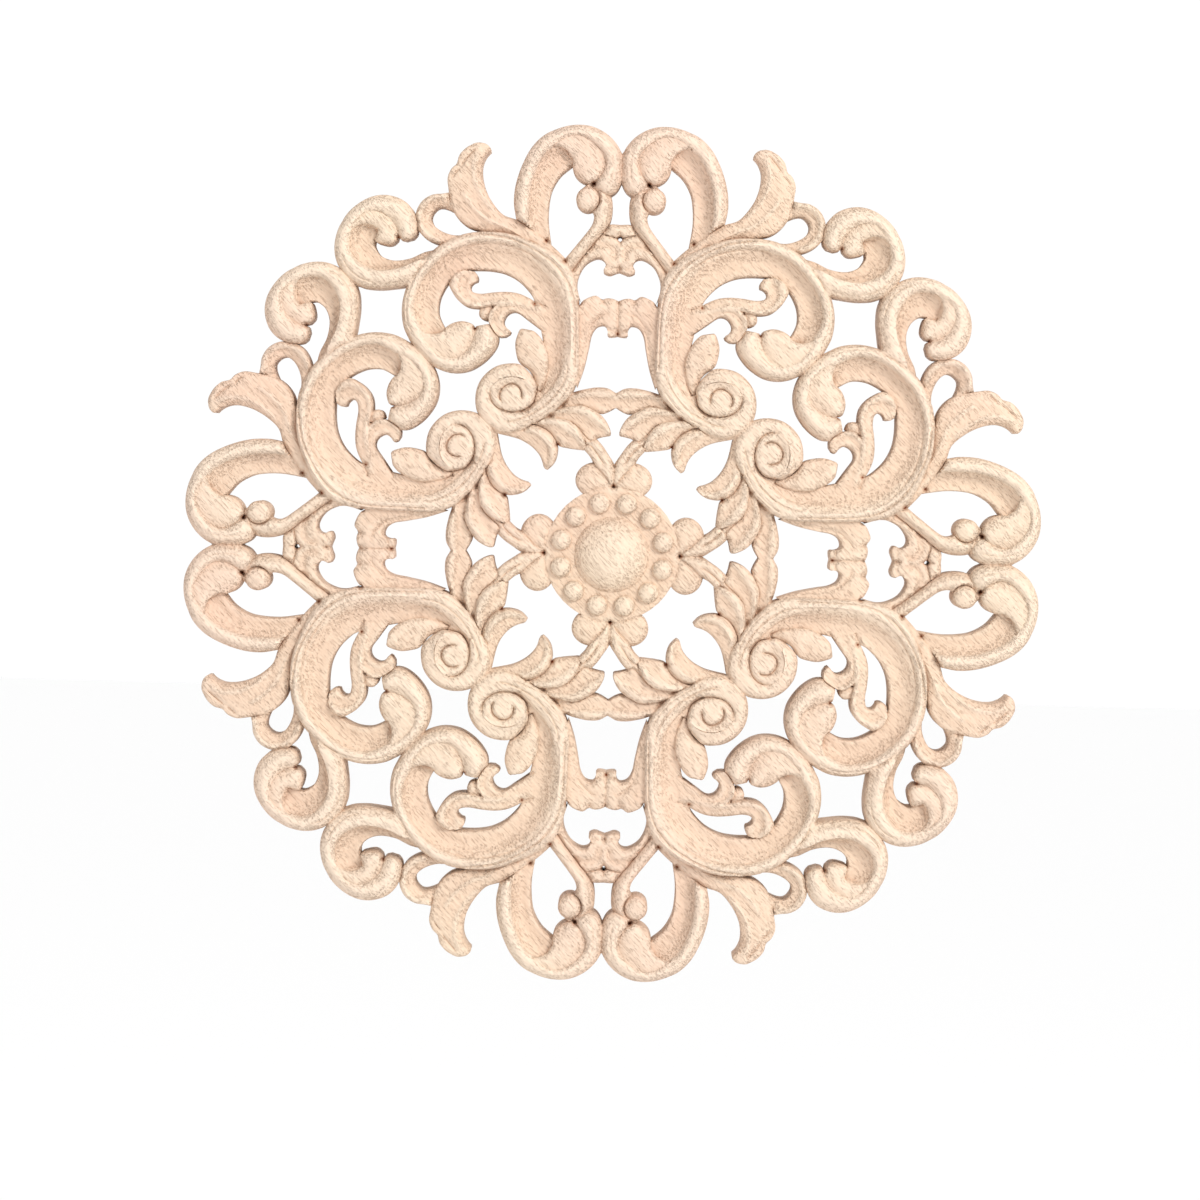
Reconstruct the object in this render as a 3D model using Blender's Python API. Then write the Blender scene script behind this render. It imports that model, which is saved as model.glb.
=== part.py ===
"""Round openwork rosette carved from one board: scrolls, volutes, leaves and a beaded boss, in eight equal sectors.

The carving is drawn for one sector, between the upright axis and the diagonal, as strokes laid over each other.
A stroke runs through stations. Each station places its rails in plan, and a section gives the height between them.
The strokes are cut into one sheet of facets, which gets walls and a flat back, and is mirrored into the other sectors.
The rosette lies against the plane y = 0 with its carved face to -Y. The origin is the centre of its back.
"""

import math

import bpy
import numpy as np
from mathutils import Vector
from mathutils.bvhtree import BVHTree
from mathutils.geometry import barycentric_transform, delaunay_2d_cdt

MM = 0.001

# Sizes of the whole rosette, in millimetres
DIAMETER = 120.0
BOARD = 8.0

# How far below the face of the board the carving is cut, in millimetres
RIM_DEPTH = 0.3
EDGE_DEPTH = 3.2
TROUGH_DEPTH = 2.4
CREASE_DEPTH = 2.4
LEAF_DEPTH = 1.7
DIP_DEPTH = 2.5
LOW_DEPTH = 3.0
PLATE_DEPTH = 2.3
BEAD_DEPTH = 0.9
CURL_DEPTH = 0.7
DOME_DEPTH = 0.1

# The plan is drawn in millimetres on a rosette of this diameter, and is then brought to DIAMETER
DRAWN_DIAMETER = 120.0
PLAN = DIAMETER / DRAWN_DIAMETER

# The beaded boss in the middle, as drawn
PLATE_RADIUS = 9.45
BEAD_RING_RADIUS = 7.4
BEAD_RADIUS = 1.5
DOME_RADIUS = 5.3
BEADS = 12
BEAD_LAYER = 7

# Facets, as drawn: how far an edge may stray from its curve, the longest facet, how far facet lines stop short of
# a stroke that lies over them, the smallest gap that is cut, and how near to a mirror line a point moves onto it
STRAY = 0.05
LONGEST = 4.5
CLEAR = 0.5
SMALLEST_GAP = 0.9
SNAP = 0.15
SAME_POINT = 0.02
SAME_GAP = 0.02

# How many facets the sector keeps, how much its outline and its relief count when points are given up, the
# slimmest facet that this may make, and how far outside a facet a lost point still counts
SECTOR_FACETS = 1205
RIM_WEIGHT = 2.0
RELIEF_WEIGHT = 0.6
SLIMMEST = 0.04
OUTSIDE = 0.3

# Edges sharper than this show as edges
SHARP_ANGLE = math.radians(35)

RIM = BOARD - RIM_DEPTH
EDGE = BOARD - EDGE_DEPTH
TROUGH = BOARD - TROUGH_DEPTH
CREASE = BOARD - CREASE_DEPTH
LEAF = BOARD - LEAF_DEPTH
DIP = BOARD - DIP_DEPTH
LOW = BOARD - LOW_DEPTH
PLATE = BOARD - PLATE_DEPTH
BEAD = BOARD - BEAD_DEPTH
CURL = BOARD - CURL_DEPTH
DOME = BOARD - DOME_DEPTH

# Sections: (place between the rails, height). Rails stand at 0, 1 and, for a band beside a trough, 2
BAND_TROUGH = [(0, EDGE), (0.7, RIM), (1.1, TROUGH), (2, EDGE)]
BAND_END = [(0, EDGE), (0.7, RIM), (1.1, TROUGH), (2, TROUGH)]
HOOK_ROOT = [(0, EDGE), (0.7, RIM), (1, RIM)]
HOOK = [(0, EDGE), (0.55, RIM), (1, CREASE)]
HOOK_END = [(0, EDGE), (0.45, EDGE), (1, EDGE)]
BULB_ROOT = [(0, RIM), (0.5, RIM), (1, TROUGH)]
BULB = [(0, CREASE), (0.5, RIM), (1, EDGE)]
BULB_END = [(0, EDGE), (0.5, EDGE), (1, EDGE)]
LEAF_ROOT = [(0, LOW), (0.35, LEAF), (1, LOW)]
LEAF_MID = [(0, EDGE), (0.35, LEAF), (1, EDGE)]
LEAF_TIP = [(0, EDGE), (0.35, EDGE), (1, EDGE)]

# Strokes: (name, layer, stations, {station: section}). A stroke of a higher layer lies over the lower ones
STROKES = [
    ("lower_bridge", 0, [
        (-0.6, 35.2, -0.6, 30.8), (0.7, 35.8, 0.7, 30.5), (1.6, 35.9, 1.4, 30.6),
        (2.3, 35.7, 1.4, 31.3), (3.1, 36.2, 1.8, 32.05), (4.2, 35.9, 2.9, 31.85), (5.2, 35.2, 3.6, 30.8),
        (5.9, 33.2, 4.0, 28.8), (6.1, 29.5, 4.6, 26.0), (6.4, 25.5, 5.5, 23.3)],
     {0: LEAF_MID, 9: LEAF_MID}),
    ("upper_bridge", 0, [
        (-0.6, 44.2, -0.6, 39.8), (0.5, 44.3, 0.5, 39.45), (1.5, 44.7, 1.4, 39.15), (2.4, 44.9, 2.25, 39.6),
        (3.1, 44.7, 1.9, 40.5), (3.8, 44.2, 2.2, 41.2), (4.8, 43.2, 3.2, 41.45), (6.0, 41.8, 4.8, 40.5),
        (6.9, 40.4, 5.7, 38.8), (6.9, 38.8, 5.85, 37.3), (6.2, 37.0, 5.3, 35.3)],
     {0: LEAF_MID, 10: LEAF_MID}),
    ("bridge_cap", 1, [
        (-0.8, 46.1, -0.8, 44.4), (0.4, 46.2, 0.4, 44.35), (1.4, 46.2, 1.6, 44.6), (2.6, 45.6, 2.7, 44.8)],
     {0: LEAF_MID, 3: LEAF_MID}),
    ("stem", 2, [
        (6.7, 39.4, 7.7, 41.2), (5.8, 40.7, 7.1, 41.9), (4.7, 42.1, 6.0, 43.3), (3.5, 43.7, 4.9, 44.7),
        (2.4, 45.0, 4.0, 46.0), (1.5, 46.4, 3.72, 47.1), (1.15, 48.3, 3.9, 47.9), (1.4, 50.1, 4.3, 48.3),
        (2.6, 51.6, 4.9, 48.9), (4.4, 51.9, 5.2, 49.7), (5.6, 51.0, 5.5, 50.2)],
     {0: [(0, LOW), (0.6, LEAF), (1, EDGE)], 5: [(0, EDGE), (0.5, RIM), (1, EDGE)],
      8: [(0, CREASE), (0.4, RIM), (1, DIP)], 10: [(0, EDGE), (0.5, LEAF), (1, LEAF)]}),
    ("heart_scroll", 3, [
        (14.6, 46.5, 13.0, 45.3, 9.6, 42.9), (15.0, 49.0, 13.05, 48.6, 10.15, 46.7),
        (14.75, 51.6, 12.85, 51.2, 10.0, 49.7), (13.9, 54.3, 12.15, 53.6, 9.55, 51.3),
        (12.5, 56.9, 11.0, 55.8, 8.5, 53.0), (10.7, 58.6, 9.8, 56.9, 7.1, 54.2),
        (8.7, 59.5, 8.6, 57.6, 6.6, 54.6)],
     {0: BAND_TROUGH, 4: BAND_TROUGH, 6: BAND_END}),
    ("heart_hook", 3, [
        (10.7, 58.6, 9.8, 56.9), (8.7, 59.5, 8.6, 57.6), (6.6, 59.95, 6.6, 58.4), (4.4, 59.8, 4.5, 57.8),
        (2.4, 58.9, 3.1, 56.6), (0.9, 57.5, 2.35, 55.2), (0.0, 55.8, 2.5, 53.8), (-0.1, 54.0, 3.1, 52.8),
        (0.0, 52.2, 3.7, 52.0), (0.6, 50.9, 3.6, 51.5), (1.6, 50.1, 3.0, 50.9)],
     {0: HOOK_ROOT, 2: HOOK_ROOT, 4: HOOK, 8: HOOK, 10: HOOK_END}),
    ("heart_bulb", 3, [
        (8.6, 57.7, 9.7, 56.9), (7.4, 58.3, 8.4, 56.6), (6.0, 58.45, 7.4, 55.9), (4.5, 57.8, 6.95, 55.0),
        (3.1, 56.6, 6.95, 54.2), (2.35, 55.2, 6.6, 53.1), (2.5, 53.8, 5.9, 52.3), (3.2, 52.6, 4.9, 51.8),
        (3.9, 51.9, 4.1, 51.7)],
     {0: BULB_ROOT, 2: BULB_ROOT, 4: BULB, 7: BULB, 8: BULB_END}),
    ("first_leaf", 4, [
        (8.3, 21.2, 8.3, 20.2), (6.9, 22.3, 6.4, 20.6), (5.5, 22.8, 4.7, 20.85), (3.9, 23.2, 3.3, 20.3),
        (2.6, 23.4, 2.1, 19.7), (1.2, 23.3, 1.1, 19.95), (0.0, 22.6, 0.0, 20.6), (-0.8, 22.0, -0.6, 21.0)],
     {0: LEAF_ROOT, 3: LEAF_MID, 7: LEAF_MID}),
    ("second_leaf", 5, [
        (9.6, 19.7, 9.6, 18.9), (8.0, 20.3, 7.9, 18.8), (6.3, 20.7, 6.6, 18.6), (4.7, 20.8, 5.4, 17.9),
        (3.3, 20.3, 4.4, 16.8), (2.0, 19.5, 3.4, 15.9), (1.1, 18.4, 2.2, 16.3), (0.6, 17.2, 1.4, 16.5),
        (0.6, 16.75, 0.8, 16.6)],
     {0: LEAF_ROOT, 4: LEAF_MID, 7: LEAF_MID, 8: LEAF_TIP}),
    ("third_leaf", 6, [
        (11.4, 18.3, 11.4, 17.7), (9.6, 19.0, 10.0, 17.3), (7.9, 18.9, 8.9, 16.5), (6.6, 18.7, 7.9, 15.1),
        (5.4, 18.0, 6.6, 14.75), (4.5, 16.9, 5.3, 14.6), (3.9, 15.7, 4.2, 14.55)],
     {0: LEAF_ROOT, 3: LEAF_MID, 6: LEAF_TIP}),
    ("leaf_stem", 3, [
        (0.0, 11.6, 2.9, 11.6), (0.1, 12.8, 2.97, 12.7), (0.8, 13.9, 3.4, 13.6), (1.6, 15.1, 4.2, 14.5),
        (2.6, 16.2, 5.2, 15.4)],
     {0: [(0, EDGE), (0.25, DIP), (0.5, LOW), (0.75, DIP), (1, EDGE)],
      4: [(0, EDGE), (0.25, DIP), (0.5, LOW), (0.75, DIP), (1, EDGE)]}),
    ("tail_leaf", 7, [
        (15.6, 17.9, 17.4, 16.7), (13.9, 18.1, 15.2, 16.3), (12.3, 18.1, 13.3, 15.8), (10.9, 17.85, 11.7, 14.9),
        (9.6, 17.25, 10.6, 13.8), (8.6, 16.3, 10.1, 12.8), (8.0, 15.0, 9.95, 12.2), (8.15, 13.3, 9.75, 11.85),
        (8.6, 12.4, 9.55, 11.7), (9.2, 11.8, 9.4, 11.65)],
     {0: LEAF_ROOT, 3: LEAF_MID, 8: LEAF_MID, 9: LEAF_TIP}),
    ("flame_leaf", 8, [
        (7.6, 41.3, 9.2, 40.3), (9.4, 42.95, 11.0, 42.0), (11.6, 44.6, 13.1, 43.5), (14.3, 46.4, 16.2, 44.55),
        (16.5, 47.2, 19.2, 44.8), (18.1, 49.0, 21.4, 45.4), (19.1, 50.9, 23.1, 46.9), (19.55, 52.7, 23.9, 48.8),
        (19.55, 54.1, 24.2, 50.6), (19.2, 55.1, 24.35, 52.2), (18.8, 55.7, 23.8, 53.5),
        (18.4, 56.1, 23.15, 54.1), (18.5, 56.5, 22.8, 55.3), (19.1, 57.0, 21.9, 56.35), (20.0, 57.2, 20.9, 57.0)],
     {0: [(0, LOW), (0.4, LEAF), (1, LOW)], 3: [(0, LOW), (0.4, LEAF), (1, LOW)], 5: LEAF_MID, 13: LEAF_MID,
      14: LEAF_TIP}),
    ("loop", 7, [
        (23.6, 50.2, 23.3, 47.4), (24.9, 49.9, 24.5, 47.9), (26.4, 49.7, 25.5, 47.95), (27.8, 48.8, 26.3, 47.2),
        (28.6, 47.3, 26.5, 46.3), (28.6, 45.6, 26.0, 45.35), (27.9, 44.2, 24.9, 44.6), (26.5, 43.2, 23.4, 44.15),
        (24.6, 42.6, 21.8, 44.2)],
     {0: [(0, EDGE), (0.4, LEAF), (1, EDGE)], 8: [(0, EDGE), (0.4, LEAF), (1, EDGE)]}),
    ("outer_scroll", 9, [
        (26.4, 38.8, 24.9, 40.9, 24.0, 42.4), (29.2, 37.0, 28.0, 40.5, 27.2, 41.7),
        (31.6, 36.5, 30.2, 39.5, 29.4, 40.7), (33.9, 36.3, 32.3, 38.95, 31.7, 40.4),
        (36.2, 36.6, 34.2, 38.9, 33.4, 41.0), (38.2, 37.9, 36.0, 39.5, 34.3, 42.2),
        (39.5, 39.8, 37.4, 40.6, 34.35, 43.0), (39.95, 42.0, 38.1, 42.3, 34.1, 43.6),
        (39.5, 44.5, 37.8, 44.0, 33.9, 44.2), (38.3, 46.7, 36.9, 45.2, 33.8, 44.6)],
     {0: BAND_TROUGH, 8: BAND_TROUGH, 9: BAND_END}),
    ("outer_hook", 9, [
        (39.5, 44.5, 37.8, 44.0), (38.3, 46.7, 36.9, 45.2), (36.6, 48.3, 35.9, 46.6), (34.9, 49.2, 34.6, 47.1),
        (33.2, 49.5, 33.2, 46.85), (31.5, 49.25, 32.1, 46.1), (30.0, 48.5, 31.4, 45.2), (28.9, 47.2, 31.1, 44.4),
        (28.4, 45.6, 31.0, 43.8), (28.45, 44.2, 30.8, 43.4), (29.0, 43.5, 30.0, 43.2)],
     {0: HOOK_ROOT, 2: HOOK_ROOT, 4: HOOK, 9: HOOK, 10: HOOK_END}),
    ("outer_bulb", 9, [
        (36.9, 45.6, 37.6, 44.3), (36.0, 46.7, 36.8, 45.0), (34.8, 47.15, 35.8, 45.35), (33.3, 46.9, 34.7, 45.15),
        (32.1, 46.1, 34.0, 44.5), (31.4, 45.2, 34.3, 43.1), (31.05, 44.3, 33.2, 42.6), (31.1, 43.6, 32.2, 42.5),
        (31.2, 43.2, 31.7, 42.7)],
     {0: BULB_ROOT, 2: BULB_ROOT, 4: BULB, 7: BULB, 8: BULB_END}),
    ("big_scroll", 9, [
        (13.2, 17.3, 14.6, 19.05, 14.9, 19.7), (11.2, 18.2, 12.2, 19.7, 12.6, 20.3),
        (9.2, 19.35, 10.6, 21.1, 11.5, 21.8), (7.3, 21.1, 9.1, 22.9, 10.7, 23.2),
        (6.0, 22.8, 8.1, 24.7, 10.0, 24.6), (5.3, 25.6, 7.4, 27.0, 10.0, 27.0),
        (5.3, 29.2, 7.1, 29.8, 10.5, 30.0), (5.4, 33.0, 7.3, 33.0, 11.1, 32.6),
        (5.7, 36.6, 8.0, 35.9, 11.8, 35.3), (6.9, 40.0, 9.3, 38.6, 12.7, 36.7),
        (9.2, 42.0, 11.2, 40.9, 14.2, 38.1), (12.0, 43.4, 13.3, 42.25, 16.0, 39.0),
        (15.2, 44.5, 15.7, 42.95, 17.8, 39.35), (18.7, 44.75, 18.5, 43.3, 19.7, 39.4),
        (21.9, 44.3, 21.3, 42.95, 21.3, 39.3), (24.6, 43.1, 23.7, 41.95, 22.6, 38.95),
        (26.8, 41.3, 25.7, 40.3, 23.7, 37.7), (28.6, 39.0, 27.4, 38.3, 24.5, 36.5),
        (29.8, 36.5, 28.4, 36.3, 25.1, 35.0), (30.3, 33.8, 28.8, 34.0, 25.2, 33.3),
        (30.0, 31.2, 28.2, 31.9, 24.8, 32.1), (28.9, 28.9, 26.6, 29.6, 23.8, 30.4)],
     {0: BAND_TROUGH, 20: BAND_TROUGH, 21: BAND_END}),
    ("big_hook", 9, [
        (30.0, 31.2, 28.2, 31.9), (28.9, 28.9, 27.0, 30.4), (27.3, 26.9, 25.7, 28.6), (25.3, 25.5, 24.4, 27.4),
        (23.1, 24.9, 23.1, 27.0), (20.9, 25.15, 21.9, 27.3), (19.0, 26.2, 21.0, 28.2), (17.5, 27.7, 20.4, 29.2),
        (16.7, 29.3, 20.1, 30.2), (16.9, 30.9, 20.05, 31.0), (18.1, 31.85, 19.8, 31.5)],
     {0: HOOK_ROOT, 3: HOOK_ROOT, 5: HOOK, 9: HOOK, 10: HOOK_END}),
    ("big_bulb", 9, [
        (27.0, 29.4, 27.4, 30.8), (25.4, 27.7, 26.4, 30.35), (23.8, 27.05, 25.4, 30.35), (22.3, 27.1, 24.5, 30.7),
        (21.2, 27.9, 24.0, 31.3), (20.5, 29.0, 23.0, 31.9), (20.1, 30.2, 21.8, 32.15), (20.05, 31.1, 20.9, 32.0),
        (20.15, 31.5, 20.4, 31.8)],
     {0: BULB_ROOT, 2: BULB_ROOT, 4: BULB, 7: BULB, 8: BULB_END}),
    ("side_leaf", 10, [
        (10.6, 22.6, 11.1, 22.8), (10.0, 23.8, 11.5, 24.2), (9.6, 25.2, 12.3, 25.5), (9.5, 26.7, 13.7, 26.6),
        (9.7, 28.1, 14.15, 27.9), (10.3, 29.4, 14.3, 29.3), (11.0, 30.4, 14.0, 30.5), (11.8, 31.05, 13.6, 31.3),
        (12.5, 31.2, 13.1, 31.3)],
     {0: LEAF_TIP, 3: LEAF_MID, 7: LEAF_MID, 8: LEAF_TIP}),
    ("volute", 11, [
        (11.6, 17.9, 12.4, 19.5), (13.6, 16.9, 13.9, 19.0), (15.8, 16.7, 15.1, 19.2), (17.9, 17.6, 16.1, 20.1),
        (19.3, 19.3, 16.6, 21.1), (19.7, 21.4, 16.7, 21.9), (19.35, 23.3, 16.5, 22.6), (18.4, 24.8, 16.1, 23.1),
        (16.9, 25.95, 15.6, 23.4), (15.2, 26.4, 15.0, 23.45), (13.5, 26.3, 14.3, 23.25), (12.2, 25.3, 13.8, 22.9),
        (11.4, 24.0, 13.5, 22.5), (11.15, 22.8, 13.4, 22.0), (11.5, 21.6, 13.55, 21.4), (12.2, 20.6, 14.0, 20.9),
        (13.2, 19.95, 14.6, 20.6), (14.4, 19.7, 15.3, 20.6)],
     {0: [(0, EDGE), (0.5, LEAF), (1, RIM)], 3: [(0, EDGE), (0.5, RIM), (1, CREASE)],
      12: [(0, EDGE), (0.5, RIM), (1, CREASE)], 17: [(0, CREASE), (0.5, LEAF), (1, CREASE)]}),
    ("sprig", 12, [
        (11.5, 35.1, 12.2, 33.9), (13.6, 36.1, 13.6, 34.3), (15.4, 36.4, 15.4, 34.6), (17.4, 36.3, 17.5, 34.4),
        (19.3, 36.05, 19.6, 34.0), (20.5, 36.3, 21.3, 34.25), (20.8, 37.0, 22.5, 35.1), (20.3, 37.6, 23.3, 36.2),
        (19.8, 37.8, 23.8, 37.4), (19.8, 38.5, 23.1, 38.7), (20.2, 39.1, 21.8, 39.4)],
     {0: LEAF_MID, 9: LEAF_MID, 10: LEAF_TIP}),
    ("spur", 11, [
        (17.6, 34.8, 19.2, 34.4), (17.7, 33.7, 19.5, 33.4), (18.0, 32.7, 19.3, 32.7), (18.4, 32.3, 18.8, 32.4)],
     {0: LEAF_MID, 2: LEAF_MID, 3: LEAF_TIP}),
    ("twig", 12, [
        (11.4, 31.4, 11.3, 34.9), (12.7, 32.6, 13.2, 34.8), (14.2, 33.6, 14.9, 34.9), (15.3, 33.4, 16.7, 34.7),
        (15.9, 32.6, 17.9, 33.8), (15.95, 31.9, 18.2, 32.5), (15.5, 31.3, 17.7, 31.3), (14.95, 30.9, 16.7, 30.1),
        (15.1, 30.5, 15.7, 30.1)],
     {0: LEAF_MID, 7: LEAF_MID, 8: LEAF_TIP}),
]

# Domes: (name, layer, centre, radii, height at the foot, height at the top). ROUND gives their rings, as
# (share of the radius, share of the rise), and DOME_FACET the length of a side, as drawn
ROUND = [(0, 1.0), (0.6, 0.75), (1, 0.0)]
LEAST_SIDES = 9
DOME_FACET = 1.4
DOMES = [
    ("volute_bed", 8, (14.2, 21.9), (3.4, 3.2), TROUGH, TROUGH),
    ("curl", 3, (4.65, 49.6), (1.65, 1.75), EDGE, CURL),
    ("eye", 12, (15.05, 21.85), (1.65, 1.6), CREASE, RIM),
    ("lobe", 4, (2.6, 10.4), (2.8, 2.5), EDGE, LEAF),
    ("plate", 5, (0.0, 0.0), (PLATE_RADIUS, PLATE_RADIUS), PLATE, PLATE),
    ("boss", 6, (0.0, 0.0), (DOME_RADIUS, DOME_RADIUS), PLATE, DOME),
]


def blend(first, second, t, start, end):
    """Where a line from `first` at `start` to `second` at `end` stands at t."""
    return ((end - t) * first + (t - start) * second) / (end - start)


def spline(stations, per_span=10):
    """Centripetal Catmull-Rom curve through the stations, all rails at once: (place along, points)."""
    rows = np.array(stations, float)
    rows = np.vstack([2 * rows[0] - rows[1], rows, 2 * rows[-1] - rows[-2]])
    k = np.concatenate([[0.0], np.cumsum(np.sqrt(np.linalg.norm(np.diff(rows, axis=0), axis=1)))])
    along, points = [], []
    for i in range(1, len(rows) - 2):
        for share in np.arange(per_span) / per_span:
            t = k[i] + share * (k[i + 1] - k[i])
            a = [blend(rows[j], rows[j + 1], t, k[j], k[j + 1]) for j in (i - 1, i, i + 1)]
            b = [blend(a[j], a[j + 1], t, k[i - 1 + j], k[i + 1 + j]) for j in (0, 1)]
            along.append(i - 1 + share)
            points.append(blend(b[0], b[1], t, k[i], k[i + 1]))
    along.append(len(stations) - 1)
    points.append(rows[-2])
    return np.array(along), np.array(points)


def section_at(sections, place):
    """The section of a stroke part way between the stations that have one."""
    keys = sorted(sections)
    knots = [sections[key] for key in keys]
    return np.array([
        [np.interp(place, keys, [knot[i][part] for knot in knots]) for part in (0, 1)]
        for i in range(len(knots[0]))
    ])


def surface(along, points, sections):
    """Points of a stroke's surface: one row for each place along it, one column for each point of its section."""
    grid = []
    for place, rails in zip(along, points):
        rails = rails.reshape(-1, 2)
        row = []
        for across, height in section_at(sections, place):
            low = min(int(across), len(rails) - 2)
            spot = rails[low] + (across - low) * (rails[low + 1] - rails[low])
            row.append((spot[0], spot[1], height))
        grid.append(row)
    return np.array(grid)


def picked(points):
    """Which of the points along a stroke to keep, so that its rails stray less than STRAY between them."""
    rails = points.reshape(len(points), -1, 2)
    keep = [0]
    for i in range(2, len(points)):
        start = keep[-1]
        chord = rails[i] - rails[start]
        length = np.linalg.norm(chord, axis=1)
        shift = rails[start + 1:i] - rails[start]
        off = np.abs(shift[..., 0] * chord[:, 1] - shift[..., 1] * chord[:, 0]) / np.maximum(length, 1e-6)
        if off.max() > STRAY or length.max() > LONGEST:
            keep.append(i - 1)
    keep.append(len(points) - 1)
    return sorted(set(keep))


def dome_grid(centre, radii, base, top):
    """Points of a dome: one row for each ring, from the middle outwards."""
    count = int(max(LEAST_SIDES, round(math.tau * max(radii) / DOME_FACET)))
    grid = []
    for share, rise in ROUND:
        grid.append([
            (
                centre[0] + share * radii[0] * math.cos(math.tau * i / count),
                centre[1] + share * radii[1] * math.sin(math.tau * i / count),
                base + rise * (top - base),
            )
            for i in range(count)
        ])
    return np.array(grid)


class Patch:
    """One stroke or dome: its outline, the lines to facet it along, and the height of its surface."""

    def __init__(self, layer, grid, fine, closed):
        self.layer = layer
        rows, columns = grid.shape[:2]
        if closed:
            self.outline = grid[-1, :, :2]
            ring = [np.vstack([row, row[:1]])[:, :2] for row in grid[1:]]
            self.rails, self.lines = ring[-1:], ring[:-1]
            self.spots = grid[:1, 0, :2]
        else:
            self.outline = np.vstack([grid[:, 0, :2], grid[::-1, -1, :2]])
            self.rails = [np.vstack([self.outline, self.outline[:1]])]
            self.lines = [grid[:, i, :2] for i in range(1, columns - 1)]
            self.spots = np.zeros((0, 2))
        tall, wide = fine.shape[:2]
        self.points = [Vector(p) for p in fine.reshape(-1, 3)]
        self.faces = []
        for i in range(tall - 1):
            for j in range(wide if closed else wide - 1):
                a, b = i * wide + j, i * wide + (j + 1) % wide
                self.faces.append((a, b + wide, a + wide))
                if (self.points[a] - self.points[b]).length > 1e-6:
                    self.faces.append((a, b, b + wide))
        self.tree = BVHTree.FromPolygons([(p.x, p.y, 0) for p in self.points], self.faces)

    def height(self, x, y):
        spot, _, face, _ = self.tree.find_nearest((x, y, 0))
        corners = [self.points[i] for i in self.faces[face]]
        flat = [Vector((p.x, p.y, 0)) for p in corners]
        return barycentric_transform(spot, *flat, *corners).z


def make_patches():
    """Every stroke and dome of the sector."""
    patches = []
    for _, layer, stations, sections in STROKES:
        along, points = spline(stations)
        keep = picked(points)
        fine = surface(along, points, sections)
        patches.append(Patch(layer, fine[keep], fine, False))
    for _, layer, centre, radii, base, top in DOMES:
        grid = dome_grid(centre, radii, base, top)
        patches.append(Patch(layer, grid, grid, True))
    for i in range(BEADS):
        angle = math.tau * (i + 0.5) / BEADS
        centre = (BEAD_RING_RADIUS * math.cos(angle), BEAD_RING_RADIUS * math.sin(angle))
        if not in_sector(np.array([centre]), 2 * BEAD_RADIUS)[0]:
            continue
        grid = dome_grid(centre, (BEAD_RADIUS, BEAD_RADIUS), LOW, BEAD)
        patches.append(Patch(BEAD_LAYER, grid, grid, True))
    return patches


def enclosed(spots, starts, ends):
    """Which of the spots lie inside the region that the sides from `starts` to `ends` go round."""
    x, y = spots[:, 0][:, None], spots[:, 1][:, None]
    (ax, ay), (bx, by) = starts.T, ends.T
    span = np.where(by == ay, 1e-12, by - ay)
    hits = ((ay > y) != (by > y)) & (x < (bx - ax) * (y - ay) / span + ax)
    return hits.sum(axis=1) % 2 == 1


def inside(spots, outline):
    """Which of the spots lie inside a closed outline."""
    return enclosed(spots, outline, np.roll(outline, -1, axis=0))


def distance(spots, line):
    """How far each of the spots is from a line of points."""
    a, b = line[:-1], line[1:]
    step = b - a
    size = np.maximum((step ** 2).sum(axis=1), 1e-12)
    share = np.clip(((spots[:, None] - a) * step).sum(axis=2) / size, 0, 1)
    near = a + share[..., None] * step
    return np.sqrt(((spots[:, None] - near) ** 2).sum(axis=2)).min(axis=1)


def in_sector(spots, slack):
    return (spots[:, 0] > -slack) & (spots[:, 1] > spots[:, 0] - slack)


def snapped(spots, reach):
    """The spots, with those next to a mirror line moved onto it."""
    spots = np.array(spots, float)
    middle = (spots[:, 0] + spots[:, 1]) / 2
    on_diagonal = np.abs(spots[:, 0] - spots[:, 1]) < reach
    spots[on_diagonal] = middle[on_diagonal, None]
    spots[np.abs(spots[:, 0]) < reach, 0] = 0.0
    return spots


def split(start, end, outlines):
    """The points that cut a facet line where it crosses any of the outlines, with its two ends."""
    shares = [0.0, 1.0]
    step = end - start
    for outline in outlines:
        side = np.roll(outline, -1, axis=0) - outline
        gap = outline - start
        cross = step[0] * side[:, 1] - step[1] * side[:, 0]
        cross[np.abs(cross) < 1e-12] = 1e-12
        here = (gap[:, 0] * side[:, 1] - gap[:, 1] * side[:, 0]) / cross
        there = (gap[:, 0] * step[1] - gap[:, 1] * step[0]) / cross
        shares += [float(h) for h, t in zip(here, there) if 0 < h < 1 and 0 <= t <= 1]
    return [start + share * step for share in sorted(shares)]


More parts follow.
